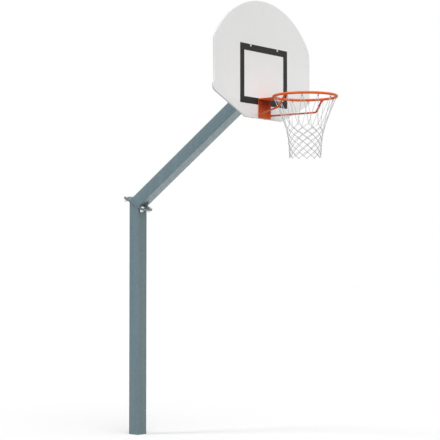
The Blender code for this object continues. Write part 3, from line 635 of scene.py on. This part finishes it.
def bent_path(corners, radius, steps):
    """Straight runs between the corners, each inner corner rounded to the radius."""
    corners = [Vector(c) for c in corners]
    path = [corners[0]]
    for before, corner, after in zip(corners, corners[1:], corners[2:]):
        back = (before - corner).normalized()
        ahead = (after - corner).normalized()
        half = back.angle(ahead) / 2
        trim = radius / math.tan(half)
        centre = corner + (back + ahead).normalized() * radius / math.sin(half)
        first = (corner + back * trim - centre).normalized()
        last = (corner + ahead * trim - centre).normalized()
        path += [centre + first.slerp(last, i / steps) * radius for i in range(steps + 1)]
    path.append(corners[-1])
    return path


# Weld runs: RING_WELD and the like are radii, and the first five values here are in radii
BEAD_STEP = 0.32
RIPPLE_LENGTH = 1.1
RIPPLE_SWELL = 0.13
BEAD_WANDER = 0.05
BEAD_TIP = 0.45  # at an open run's ends
BEAD_TIP_ROWS = 4
BEAD_SIDES = 10
WELD_LIFT = 0.0008  # metres from a face to the axis of most runs on it


def bead(soup, path, radius, closed, seed):
    """One run of weld: a low rounded bead with a ripple about every half width."""
    path, total = spaced(path, radius * BEAD_STEP, closed)
    drawn = random.Random(seed)
    wander = [drawn.uniform(-1, 1) for _ in path]
    ripples = max(3, round(total / (radius * RIPPLE_LENGTH)))

    def section(i):
        ripple = math.sin(FULL_TURN * ripples * i / len(path))
        swell = 1 + RIPPLE_SWELL * ripple + BEAD_WANDER * wander[i]
        if not closed:
            rows_from_end = min(i, len(path) - 1 - i)
            swell *= min(1.0, BEAD_TIP + (1 - BEAD_TIP) * rows_from_end / BEAD_TIP_ROWS)
        return circle(radius * swell, BEAD_SIDES)

    soup.add(sweep(path, section, closed), closed)


# Board

BOARD_SHOULDER = 0.150  # radius where side and crown meet
BOARD_ROLL = 0.005  # radius of the rolled front edge
BOARD_ROLL_STEPS = 6

# Rows of the eased back edge: inset from the outline, and distance in front of the back
BOARD_BACK_EASE = ((0.0, 0.0018), (0.0005, 0.0005), (0.0018, 0.0), (0.0040, 0.0))


def board_outline():
    """The right half from the middle of the bottom to the crown, then its mirror image."""
    down = -math.pi / 2
    slope = math.atan2(BOARD_SIDE_FOOT, BOARD_HALF_WIDTH - BOARD_HALF_FLAT)
    blend_x = BOARD_HALF_FLAT - BOARD_FLAT_BLEND * math.tan(slope / 2)
    right = arc((blend_x, BOARD_FLAT_BLEND), BOARD_FLAT_BLEND, down, down + slope, 6)
    lobe_x = BOARD_HALF_WIDTH + BOARD_LOBE_SWELL - BOARD_LOBE_RADIUS
    start = Vector((BOARD_HALF_FLAT, 0.0)) + Vector((-math.sin(slope), math.cos(slope))) * BOARD_LOBE_RADIUS
    lobe_y = start.y + (lobe_x - start.x) * math.tan(slope)
    leave = math.acos((BOARD_HALF_WIDTH - lobe_x) / BOARD_LOBE_RADIUS)
    right += arc((lobe_x, lobe_y), BOARD_LOBE_RADIUS, down + slope, leave, 20)
    crown_y = BOARD_HEIGHT - BOARD_TOP_RADIUS
    shoulder_x = BOARD_HALF_WIDTH - BOARD_SHOULDER
    shoulder_rise = math.sqrt((BOARD_TOP_RADIUS - BOARD_SHOULDER) ** 2 - shoulder_x ** 2)
    turn = math.atan2(shoulder_rise, shoulder_x)
    right += arc((shoulder_x, crown_y + shoulder_rise), BOARD_SHOULDER, 0.0, turn, 8)
    right += arc((0.0, crown_y), BOARD_TOP_RADIUS, turn, math.pi / 2, 34)[1:]
    return right + [Vector((-p.x, p.y)) for p in reversed(right[:-1])]


def inset(outline, distance):
    """The closed outline moved inwards, each point along the mean of its two edges' normals."""
    moved = []
    for before, point, after in zip(outline[-1:] + outline, outline, outline[1:] + outline[:1]):
        along = ((point - before).normalized() + (after - point).normalized()).normalized()
        moved.append(point + Vector((-along.y, along.x)) * distance)
    return moved


def make_board():
    """A moulded shell: the front edge rolls back, and the back edge is only eased."""
    profile = [(BOARD_ROLL + 0.0025, 0.0), (BOARD_ROLL + 0.0002, 0.0)]
    for i in range(BOARD_ROLL_STEPS + 1):
        turn = math.pi / 2 * i / BOARD_ROLL_STEPS
        profile.append((BOARD_ROLL * (1 - math.sin(turn)), BOARD_ROLL * (1 - math.cos(turn))))
    profile += [(distance, BOARD_THICKNESS - rise) for distance, rise in BOARD_BACK_EASE]
    outline = board_outline()
    rows = []
    for distance, depth in profile:
        y = BOARD_FACE_Y + depth
        rows.append([Vector((p.x, y, BOARD_FOOT_Z + p.y)) for p in inset(outline, distance)])
    lone_piece("backboard_shell", rows, False, GEL, "white_gel_coat", "backboard", math.radians(60))


# Ring, braces and hooks, with their weld runs

ORANGE_SLOT = "orange_paint"
RING_WELD = 0.0029
BRACE_WELD = 0.0024
BRACE_FOOT_WELD = 0.0026
HOOK_WELD = 0.0012


def ring_point(angle, radius=RING_RADIUS, drop=0.0):
    """A point at an angle from the ring's front, a radius from its centre and a depth below its plane."""
    return Vector((radius * math.sin(angle), RING_CENTRE_Y - radius * math.cos(angle), RING_HEIGHT - drop))


def make_ring():
    steps = 168
    path = [ring_point(math.pi + FULL_TURN * i / steps) for i in range(steps)]
    rows = sweep(path, lambda i: circle(BAR_RADIUS, 24), closed=True)
    lone_piece("ring_bar_round", rows, True, ORANGE, ORANGE_SLOT, "ring_bar")


def brace_collar(top, down, around):
    """A circle round the brace's top end, lifted on to the ring's bar, which runs along around."""
    across = down.orthogonal().normalized()
    centre = top + down * (BAR_RADIUS + 0.0010)
    collar = []
    for edge in ring_round(centre, across, down.cross(across), BRACE_RADIUS + 0.0006, 24):
        hug = edge - top
        radial = hug - around * hug.dot(around)
        lift = BAR_RADIUS + WELD_LIFT - radial.length
        collar.append(edge + radial.normalized() * max(lift, -0.004))
    return collar


def make_braces(welds):
    for side, name in ((-1, "ring_brace_left"), (1, "ring_brace_right")):
        angle = side * BRACE_RING_ANGLE
        top = ring_point(angle)
        elbow = top + Vector((side * BRACE_ELBOW_OUTSET, BRACE_ELBOW_BACK, -BRACE_DROP))
        foot = Vector((side * BRACE_FOOT_HALF_SPREAD, PLATE_FRONT_Y - GAP, PLATE_FOOT_Z + BRACE_FOOT_RISE))
        down = (elbow - top).normalized()
        path = bent_path((top + down * (BAR_RADIUS + 2 * GAP), elbow, foot), BRACE_BEND_RADIUS, 12)
        rows = sweep(path, lambda i: circle(BRACE_RADIUS, 20))
        end = (foot - elbow).normalized()
        rows[-1] = [on_plane(p, end, foot, BACK) for p in rows[-1]]
        lone_piece(f"{name}_rod", rows, False, ORANGE_ROD, ORANGE_SLOT, name)
        around = RIGHT * math.cos(angle) + BACK * math.sin(angle)
        bead(welds, brace_collar(top, down, around), BRACE_WELD, True, 31 + side)
        centre = Vector((foot.x, PLATE_FRONT_Y - WELD_LIFT, foot.z))
        collar = ring_round(centre, RIGHT, UP, BRACE_RADIUS + 0.0012, 24)
        bead(welds, collar, BRACE_FOOT_WELD, True, 41 + side)


def make_hooks(welds):
    bend_drop = HOOK_START + HOOK_DROP
    for i in range(NET_LOOPS):
        angle = FULL_TURN * i / NET_LOOPS
        path = [ring_point(angle, RING_RADIUS, HOOK_START)]
        for x, y in arc((NET_SEAT_RADIUS, 0.0), HOOK_BEND_RADIUS, 0.0, -math.pi, 14):
            path.append(ring_point(angle, x, bend_drop - y))
        path.append(ring_point(angle, RING_RADIUS - 2 * HOOK_BEND_RADIUS, HOOK_START))
        rows = sweep(path, lambda k: circle(HOOK_RADIUS, 12))
        name = f"net_hook_{i + 1:02d}"
        lone_piece(f"{name}_rod", rows, False, ORANGE, ORANGE_SLOT, name)
        outward = ring_point(angle, 1.0) - ring_point(angle, 0.0)
        root = ring_point(angle, RING_RADIUS, HOOK_START + 0.0002)
        collar = ring_round(root, outward, UP.cross(outward), HOOK_RADIUS + 0.0004, 16)
        bead(welds, collar, HOOK_WELD, True, 60 + i)


def make_ring_welds(welds):
    """The ring's bar to the curved end of the plate's top leg."""
    above = (RING_RADIUS + 0.0080, PLATE_TOP_Z + 0.0002, 5)
    below = (RING_RADIUS + 0.0113, RING_HEIGHT + 0.0006, 6)
    for radius, z, seed in (above, below):
        path = []
        for i in range(29):
            x = (PLATE_HALF_WIDTH - 0.003) * (i / 14 - 1)
            path.append(Vector((x, RING_CENTRE_Y + math.sqrt(radius ** 2 - x ** 2), z)))
        bead(welds, path, RING_WELD, False, seed)


# Welds of the steel

TUBE_WELD = 0.0032
TUBE_WELD_OUT = 0.0015  # its axis off the tube's faces
TUBE_WELD_LIFT = 0.0014  # and off the plate
GUSSET_WELD = 0.0024
CROSSBAR_WELD = 0.0022
ANCHOR_WELD = 0.0026


def tube_weld(welds, direction, plane_point, plane_normal, seed):
    """A run round a tube through the joint, where a plane cuts it."""
    other = direction.cross(RIGHT)
    path = []
    for x, y in rounded_square(TUBE_SIZE + 2 * TUBE_WELD_OUT, TUBE_CORNER + TUBE_WELD_OUT):
        path.append(on_plane(JOINT + RIGHT * x + other * y, direction, plane_point, plane_normal))
    bead(welds, path, TUBE_WELD, True, seed)


def gusset_welds(welds):
    """Along the flange's ear and along the boom, on both sides of the rib."""
    underside = JOINT + BOOM_UNDERSIDE * (TUBE_SIZE / 2 + GAP)
    corner = on_plane(underside, BOOM_DIRECTION, JOINT + MITRE_NORMAL * TUBE_CUT, MITRE_NORMAL)
    skip = 0.006
    for side in (-1, 1):
        out = RIGHT * side * (GUSSET_HALF + WELD_LIFT)
        root = corner + MITRE_NORMAL * 0.0012 + out
        run = [root + MITRE_ALONG * skip, root + MITRE_ALONG * GUSSET_FOOT]
        bead(welds, run, GUSSET_WELD, False, 21 + side)
        root = corner + BOOM_UNDERSIDE * 0.0010 + out
        run = [root + BOOM_DIRECTION * skip, root + BOOM_DIRECTION * GUSSET_RISE]
        bead(welds, run, GUSSET_WELD, False, 24 + side)


def make_steel_welds():
    welds = Soup()
    reach = TUBE_CUT + TUBE_WELD_LIFT
    tube_weld(welds, UP, JOINT - MITRE_NORMAL * reach, MITRE_NORMAL, 11)
    tube_weld(welds, BOOM_DIRECTION, JOINT + MITRE_NORMAL * reach, MITRE_NORMAL, 12)
    tube_weld(welds, BOOM_DIRECTION, BACK * (BRACKET_BACK_Y + TUBE_WELD_LIFT), BACK, 13)
    gusset_welds(welds)
    for side in (-1, 1):
        x = side * (BRACKET_HALF_WIDTH + 0.0005)
        run = [Vector((x, BRACKET_BACK_Y + y, CROSSBAR_FOOT_Z - 0.0006)) for y in (-0.003, 0.035)]
        bead(welds, run, CROSSBAR_WELD, False, 27 + side)
    for name, axis in (("anchor_bar_lower", RIGHT), ("anchor_bar_upper", BACK)):
        for side in (-1, 1):
            root = middle(name) + axis * side * (TUBE_SIZE / 2 + WELD_LIFT)
            collar = ring_round(root, axis.cross(UP), UP, ANCHOR_RADIUS + WELD_LIFT, 24)
            bead(welds, collar, ANCHOR_WELD, True, 70 + side)
    piece("steel_welds", welds, STEEL_WELD, "galvanised_steel")


# Fasteners: rows of points round the bolt's axis, with its head up

TURNS = [FULL_TURN * i / 48 for i in range(48)]
FLANGE_BOLT = (0.016, 0.002)  # diameter and pitch
RING_BOLT = (0.012, 0.00175)
BOARD_BOLT = (0.010, 0.0015)

# In bolt diameters
HEAD_ACROSS_FLATS = 1.5
HEAD_HEIGHT = 0.625
DOME_RADIUS = 0.95
DOME_HEIGHT = 0.55
NUT_HEIGHT = 0.8
WASHER_RADIUS = 0.95
WASHER_THICKNESS = 0.18
BOLT_STICK_OUT = 0.35
TIP_CHAMFER = 0.1

CHAMFER_CIRCLE = 0.46  # radius, of the width across flats
CHAMFER_SLOPE = 1.73  # a 30 degree cone's run to its rise
HEAD_CHAMFER_STEP = 0.045  # of the head's height, from row to row
DISH_DEPTH = 0.03  # of the head's height
DOME_TURN = 1.45  # radians from the crown to the last row over the rim
DOME_ROWS = 9
THREAD_START = 0.96  # of the nut's height
THREAD_DEPTH = 0.5  # of the pitch
THREAD_ROWS = 6  # to one pitch
WASHER_BORE_CLEARANCE = 0.0005
WASHER_EDGE = 0.0003
NUT_BORE_EDGE = 0.0008
NUT_SEAT_EDGE = 0.0006  # depth of the bore's chamfer under the washer
NUT_STEP = 0.0004  # from row to row of a nut's chamfer


def hex_row(flats, z, rim):
    """A row of a hexagon that a cone trims to the rim's radius."""
    radii = [min(flats / 2 / math.cos(t % (math.pi / 3) - math.pi / 6), rim) for t in TURNS]
    return [(radius * math.cos(t), radius * math.sin(t), z) for radius, t in zip(radii, TURNS)]


def round_row(radius, z):
    return [(radius * math.cos(t), radius * math.sin(t), z) for t in TURNS]


def dome_rows(diameter):
    """A domed head from near its crown to its underside."""
    rows = []
    for k in range(1, DOME_ROWS + 1):
        turn = DOME_TURN * k / DOME_ROWS
        z = GAP + DOME_HEIGHT * diameter * math.cos(turn)
        rows.append(round_row(DOME_RADIUS * diameter * math.sin(turn), z))
    return rows + [round_row(DOME_RADIUS * diameter, GAP)]


def hex_head_rows(diameter):
    """A hexagon head with a dished top, a turned chamfer and a washer face."""
    flats = HEAD_ACROSS_FLATS * diameter
    head = HEAD_HEIGHT * diameter
    rim = CHAMFER_CIRCLE * flats
    rows = [round_row(rim * 0.55, GAP + head * (1 - DISH_DEPTH)), round_row(rim * 0.60, GAP + head)]
    for k in range(6):
        depth = k * HEAD_CHAMFER_STEP * head
        rows.append(hex_row(flats, GAP + head - depth, rim + depth * CHAMFER_SLOPE))
    rows.append(hex_row(flats, GAP + head * 0.10, flats))
    rows.append(hex_row(flats, GAP + 0.0001, rim * 1.04))
    return rows + [round_row(rim, GAP)]


def thread_rows(diameter, start, tip, pitch):
    """The shank from under the head, smooth to start, then threaded to its chamfered tip."""
    rows = [round_row(diameter / 2, -GAP), round_row(diameter / 2, -start)]
    count = max(4, round((tip - start) / (pitch / THREAD_ROWS)))
    for k in range(1, count + 1):
        z = start + (tip - start) * k / count
        chamfered = diameter / 2 - diameter * TIP_CHAMFER + (tip - z)
        row = []
        for t in TURNS:
            phase = (z / pitch + t / FULL_TURN) % 1.0
            groove = THREAD_DEPTH * pitch * (1 - abs(2 * phase - 1)) * min(1.0, (z - start) / pitch)
            radius = min(diameter / 2 - groove, chamfered)
            row.append((radius * math.cos(t), radius * math.sin(t), -z))
        rows.append(row)
    return rows


def washer_rows(diameter):
    inner = diameter / 2 + WASHER_BORE_CLEARANCE
    outer = WASHER_RADIUS * diameter
    rim = outer - WASHER_EDGE
    top = -GAP
    low = top - WASHER_THICKNESS * diameter
    upper = [(inner, top), (rim, top), (outer, top - WASHER_EDGE)]
    lower = [(outer, low + WASHER_EDGE), (rim, low), (inner, low)]
    return [round_row(radius, z) for radius, z in upper + lower]


def nut_rows(diameter):
    flats = HEAD_ACROSS_FLATS * diameter
    height = NUT_HEIGHT * diameter
    bore = diameter / 2 + GAP
    mouth = bore + NUT_BORE_EDGE
    rim = CHAMFER_CIRCLE * flats
    rows = [round_row(bore, -GAP - NUT_SEAT_EDGE), round_row(mouth, -GAP), round_row(rim, -GAP)]
    steps = [k * NUT_STEP for k in range(5)]
    rows += [hex_row(flats, -GAP - step, rim + step * CHAMFER_SLOPE) for step in steps[1:]]
    rows += [hex_row(flats, -height + step, rim + step * CHAMFER_SLOPE) for step in reversed(steps)]
    return rows + [round_row(mouth, -height), round_row(bore, -height + NUT_BORE_EDGE)]


def turned(node_name, place, rows, closed_path, finish=None, slot="bright_zinc"):
    rows = [[place @ Vector(p) for p in row] for row in reversed(rows)]
    lone_piece(f"{node_name}_turned", rows, closed_path, finish or ZINC, slot, node_name, math.radians(32))


def make_fastener(kind, tag, origin, axis, thread, stack, dome=False, **head_finish):
    """Bolt, washer and nut. Origin is under the head, and stack is the thickness that they hold."""
    diameter, pitch = thread
    place = Matrix.Translation(origin) @ Matrix((RIGHT, axis.cross(RIGHT), axis)).transposed().to_4x4()
    seat = stack + GAP + WASHER_THICKNESS * diameter
    nut_height = NUT_HEIGHT * diameter
    tip = seat + nut_height + BOLT_STICK_OUT * diameter
    rows = dome_rows(diameter) if dome else hex_head_rows(diameter)
    rows += thread_rows(diameter, seat + nut_height * THREAD_START, tip, pitch)
    turned(f"{kind}_bolt_{tag}", place, rows, False, **head_finish)
    turned(f"{kind}_washer_{tag}", place @ Matrix.Translation((0, 0, -stack)), washer_rows(diameter), True)
    turned(f"{kind}_nut_{tag}", place @ Matrix.Translation((0, 0, -seat)), nut_rows(diameter), True)


def make_fasteners():
    for tag, (side, end) in enumerate(((-1, 1), (1, 1), (-1, -1), (1, -1)), start=1):
        in_plane = RIGHT * side * FLANGE_BOLT_SPREAD / 2 + MITRE_ALONG * (end * FLANGE_BOLT_PITCH / 2)
        origin = JOINT + in_plane + MITRE_NORMAL * FLANGE_STACK / 2
        make_fastener("flange", tag, origin, MITRE_NORMAL, FLANGE_BOLT, FLANGE_STACK)
    stack = BRACKET_BACK_Y - PLATE_FRONT_Y
    # The ring bolts' heads take the plate's coat, painted shade included.
    orange_head = {"finish": ORANGE_PLATE, "slot": ORANGE_SLOT}
    for tag in range(1, 5):
        centre = middle(f"ring_bolt_{tag}")
        origin = Vector((centre.x, PLATE_FRONT_Y, centre.z))
        make_fastener("ring", tag, origin, -BACK, RING_BOLT, stack, **orange_head)
    stack = BRACKET_FRONT_Y + CROSSBAR_WALL - MARKING_FRONT_Y
    for tag in ("left", "right"):
        centre = middle(f"board_bolt_{tag}")
        origin = Vector((centre.x, MARKING_FRONT_Y, centre.z))
        make_fastener("board", tag, origin, -BACK, BOARD_BOLT, stack, dome=True, finish=ZINC_DULL)


# Net

CORD_RADIUS = 0.0024  # over the strands' crowns
CORD_LAY = FULL_TURN / 0.018  # radians a metre
CORD_STEP = 0.0026  # from row to row
KNOT_SIZE = 0.0034
KNOT_CORD_RADIUS = CORD_RADIUS * 0.72
KNOT_STEPS = 30
LONG_SLACK = 0.004
MESH_SLACK = 0.0012


def cord_section():
    """Outline of three strands laid together, twelve points round the cord."""
    strand = CORD_RADIUS / 2
    third = FULL_TURN / 3
    points = []
    for turn in (FULL_TURN * i / 12 for i in range(12)):
        near = turn % third - third / 2
        overlap = strand ** 2 - (strand * math.sin(near)) ** 2
        reach = strand * math.cos(near) + math.sqrt(max(0.0, overlap))
        points.append((reach * math.cos(turn), reach * math.sin(turn)))
    return points


CORD_SECTION = cord_section()


def net_knots(drawn):
    """Rows of knots, every other row half a mesh further round."""
    rows = []
    for row in range(NET_ROWS + 1):
        share = row / NET_ROWS
        drop = NET_LOOP_DROP + (NET_LENGTH - NET_LOOP_DROP) * share
        radius = NET_WAIST_RADIUS - NET_MOUTH_INSET * (1 - (1 - share) ** NET_TAPER_POWER)
        shift = math.pi / NET_LOOPS if row % 2 == 0 else 0.0
        knots = []
        for i in range(NET_LOOPS):
            turn = FULL_TURN * i / NET_LOOPS + shift + drawn.gauss(0, 0.008)
            knots.append(ring_point(turn, radius + drawn.gauss(0, 0.0010), drop + drawn.gauss(0, 0.0012)))
        rows.append(knots)
    return rows


def lay_cord(soup, points, drawn):
    path, _ = spaced(smooth_path(points, 5), CORD_STEP)
    soup.add(sweep(path, lambda i: CORD_SECTION, spin=CORD_LAY * drawn.uniform(0.95, 1.05)))


def slack(a, b, drawn, amount):
    """Five points from a to b, bowed a little inwards and to one side."""
    centre = (a + b) / 2
    inward = Vector((-centre.x, RING_CENTRE_Y - centre.y, 0)).normalized()
    side = inward.cross(b - a).normalized()
    bow = inward * drawn.uniform(0.3, 1.0) * amount + side * drawn.uniform(-0.8, 0.8) * amount
    return [a, a.lerp(b, 0.25) + bow * 0.75, centre + bow, a.lerp(b, 0.75) + bow * 0.75, b]


def knot_at(soup, centre, drawn):
    """A small overhand knot: a trefoil of the same cord, its face turned outwards."""
    outward = Vector((centre.x, centre.y - RING_CENTRE_Y, 0)).normalized()
    side = outward.cross(UP)
    roll = drawn.uniform(-0.5, 0.5)
    c, s = math.cos(roll), math.sin(roll)
    path = []
    for t in (FULL_TURN * i / KNOT_STEPS for i in range(KNOT_STEPS)):
        x = math.sin(t) + 2 * math.sin(2 * t)
        y = math.cos(t) - 2 * math.cos(2 * t)
        z = -math.sin(3 * t)
        offset = side * (x * c - y * s) * 0.36 + UP * (x * s + y * c) * 0.44 + outward * z * 0.42
        path.append(centre + offset * KNOT_SIZE)
    soup.add(sweep(path, lambda i: circle(KNOT_CORD_RADIUS, 8), closed=True), True)


def make_net():
    drawn = random.Random(1207)
    soup = Soup()
    rows = net_knots(drawn)
    for i in range(NET_LOOPS):
        angle = FULL_TURN * i / NET_LOOPS
        over = []
        for x, y in arc((0.0, 0.0), NET_WRAP, math.pi, 0.0, 8):
            over.append(ring_point(angle + x / NET_SEAT_RADIUS, NET_SEAT_RADIUS, HOOK_AXIS_DROP - y))
        left = slack(rows[0][i - 1], over[0], drawn, LONG_SLACK)
        right = slack(over[-1], rows[0][i], drawn, LONG_SLACK)
        lay_cord(soup, left[:-1] + over + right[1:], drawn)
    for row in range(NET_ROWS):
        for i in range(NET_LOOPS):
            ends = (i, (i + 1) % NET_LOOPS) if row % 2 == 0 else (i - 1, i)
            for j in ends:
                lay_cord(soup, slack(rows[row][i], rows[row + 1][j], drawn, MESH_SLACK), drawn)
    for row in rows:
        for centre in row:
            knot_at(soup, centre, drawn)
    piece("net_cords", soup, CORD, "white_cord", "net", math.radians(75))


# Stage, light and camera

WORLD_LIGHT = 0.38
WORLD_SHOWN = 1.0
FLOOR_REACH = 60.0
FLOOR_BOUNCE = (0.40, 0.40, 0.40, 1)
FLOOR_PALE = (0.68, 0.68, 0.68, 1)
FLOOR_GLOW = 0.16

# Name, direction of the light, strength, width in degrees
SUNS = (
    ("key_sun", (0.513, -0.387, -0.766), 1.0, 14),
    ("top_front_sun", (0.20, 0.40, -0.89), 1.3, 60),
    ("front_sun", (0.30, 0.66, -0.50), 1.25, 60),
    ("side_sun", (0.9, 0.2, -0.35), 0.3, 50),
)
PANEL_PLACE = Vector((1.99, -2.87, 3.03))
PANEL_TARGET = Vector((0.0, BOARD_FACE_Y, 2.70))
PANEL_SIZE = 0.5
PANEL_POWER = 2.2

CAMERA_PLACE = (-8.1363, -7.504, 1.379)
CAMERA_LIFT = math.radians(1.9287)
CAMERA_HEADING = math.radians(-50.8048)
CAMERA_LENS = 109.98  # mm on a 36 mm sensor


def aim(obj, direction):
    obj.rotation_euler = direction.to_track_quat("-Z", "Y").to_euler()


def seen_directly(tree):
    """1 for camera, mirror and glass rays, which see the plain background, and 0 for the rest."""
    path = node(tree, "LightPath").outputs
    seen = math_node(tree, "MAXIMUM", path["Is Camera Ray"], path["Is Glossy Ray"])
    return math_node(tree, "MAXIMUM", seen, path["Is Transmission Ray"])


def make_world():
    world = bpy.data.worlds.new("studio")
    world.use_nodes = True
    tree = world.node_tree
    background = tree.nodes["Background"]
    strength = spread(tree, seen_directly(tree), WORLD_LIGHT, WORLD_SHOWN, 0.0, 1.0)
    tree.links.new(strength, background.inputs["Strength"])
    background.inputs["Color"].default_value = (1, 1, 1, 1)
    bpy.context.scene.world = world


def make_floor():
    """A pale floor that keeps the shadow, and that a view from underneath sees through."""
    made = bpy.data.materials.new("studio_floor")
    made.use_nodes = True
    tree = made.node_tree
    tree.nodes.remove(tree.nodes["Principled BSDF"])
    bounce = node(tree, "BsdfDiffuse", Color=FLOOR_BOUNCE).outputs[0]
    pale = node(tree, "BsdfDiffuse", Color=FLOOR_PALE).outputs[0]
    glow = node(tree, "Emission", Color=(1, 1, 1, 1), Strength=FLOOR_GLOW).outputs[0]
    shown = node(tree, "AddShader", i0=pale, i1=glow).outputs[0]
    pick = node(tree, "MixShader", i0=seen_directly(tree), i1=bounce, i2=shown).outputs[0]
    behind = node(tree, "NewGeometry").outputs["Backfacing"]
    from_below = math_node(tree, "MULTIPLY", behind, node(tree, "LightPath").outputs["Is Camera Ray"])
    clear = node(tree, "BsdfTransparent").outputs[0]
    surface = node(tree, "MixShader", i0=from_below, i1=pick, i2=clear).outputs[0]
    tree.links.new(surface, tree.nodes["Material Output"].inputs["Surface"])
    mesh = bpy.data.meshes.new("studio_floor")
    corners = [(x * FLOOR_REACH, y * FLOOR_REACH, 0) for x, y in ((-1, -1), (1, -1), (1, 1), (-1, 1))]
    mesh.from_pydata(corners, [], [(0, 1, 2, 3)])
    mesh.materials.append(made)
    add_object("studio_floor", mesh)


def make_sun(name, direction, strength, width):
    lamp = bpy.data.lights.new(name, "SUN")
    lamp.energy = strength
    lamp.angle = math.radians(width)
    aim(add_object(name, lamp), Vector(direction))


def make_panel():
    """A small round lamp for the soft highlight on the board."""
    lamp = bpy.data.lights.new("side_panel", "AREA")
    lamp.shape = "DISK"
    lamp.size = PANEL_SIZE
    lamp.energy = PANEL_POWER
    obj = add_object("side_panel", lamp)
    obj.location = PANEL_PLACE
    aim(obj, PANEL_TARGET - PANEL_PLACE)


def make_camera():
    lens = bpy.data.cameras.new("camera")
    lens.sensor_width = 36.0
    lens.lens = CAMERA_LENS
    lens.clip_end = 200.0
    obj = add_object("camera", lens)
    obj.location = CAMERA_PLACE
    obj.rotation_euler = (math.pi / 2 + CAMERA_LIFT, 0, CAMERA_HEADING)
    bpy.context.scene.camera = obj


dress_packed_nodes()
orange_welds = Soup()
make_board()
make_ring()
make_braces(orange_welds)
make_hooks(orange_welds)
make_ring_welds(orange_welds)
piece("ring_welds", orange_welds, ORANGE_WELD, ORANGE_SLOT)
make_steel_welds()
make_fasteners()
make_net()

make_world()
make_floor()
for sun in SUNS:
    make_sun(*sun)
make_panel()
make_camera()
bpy.context.scene.view_settings.view_transform = "Standard"
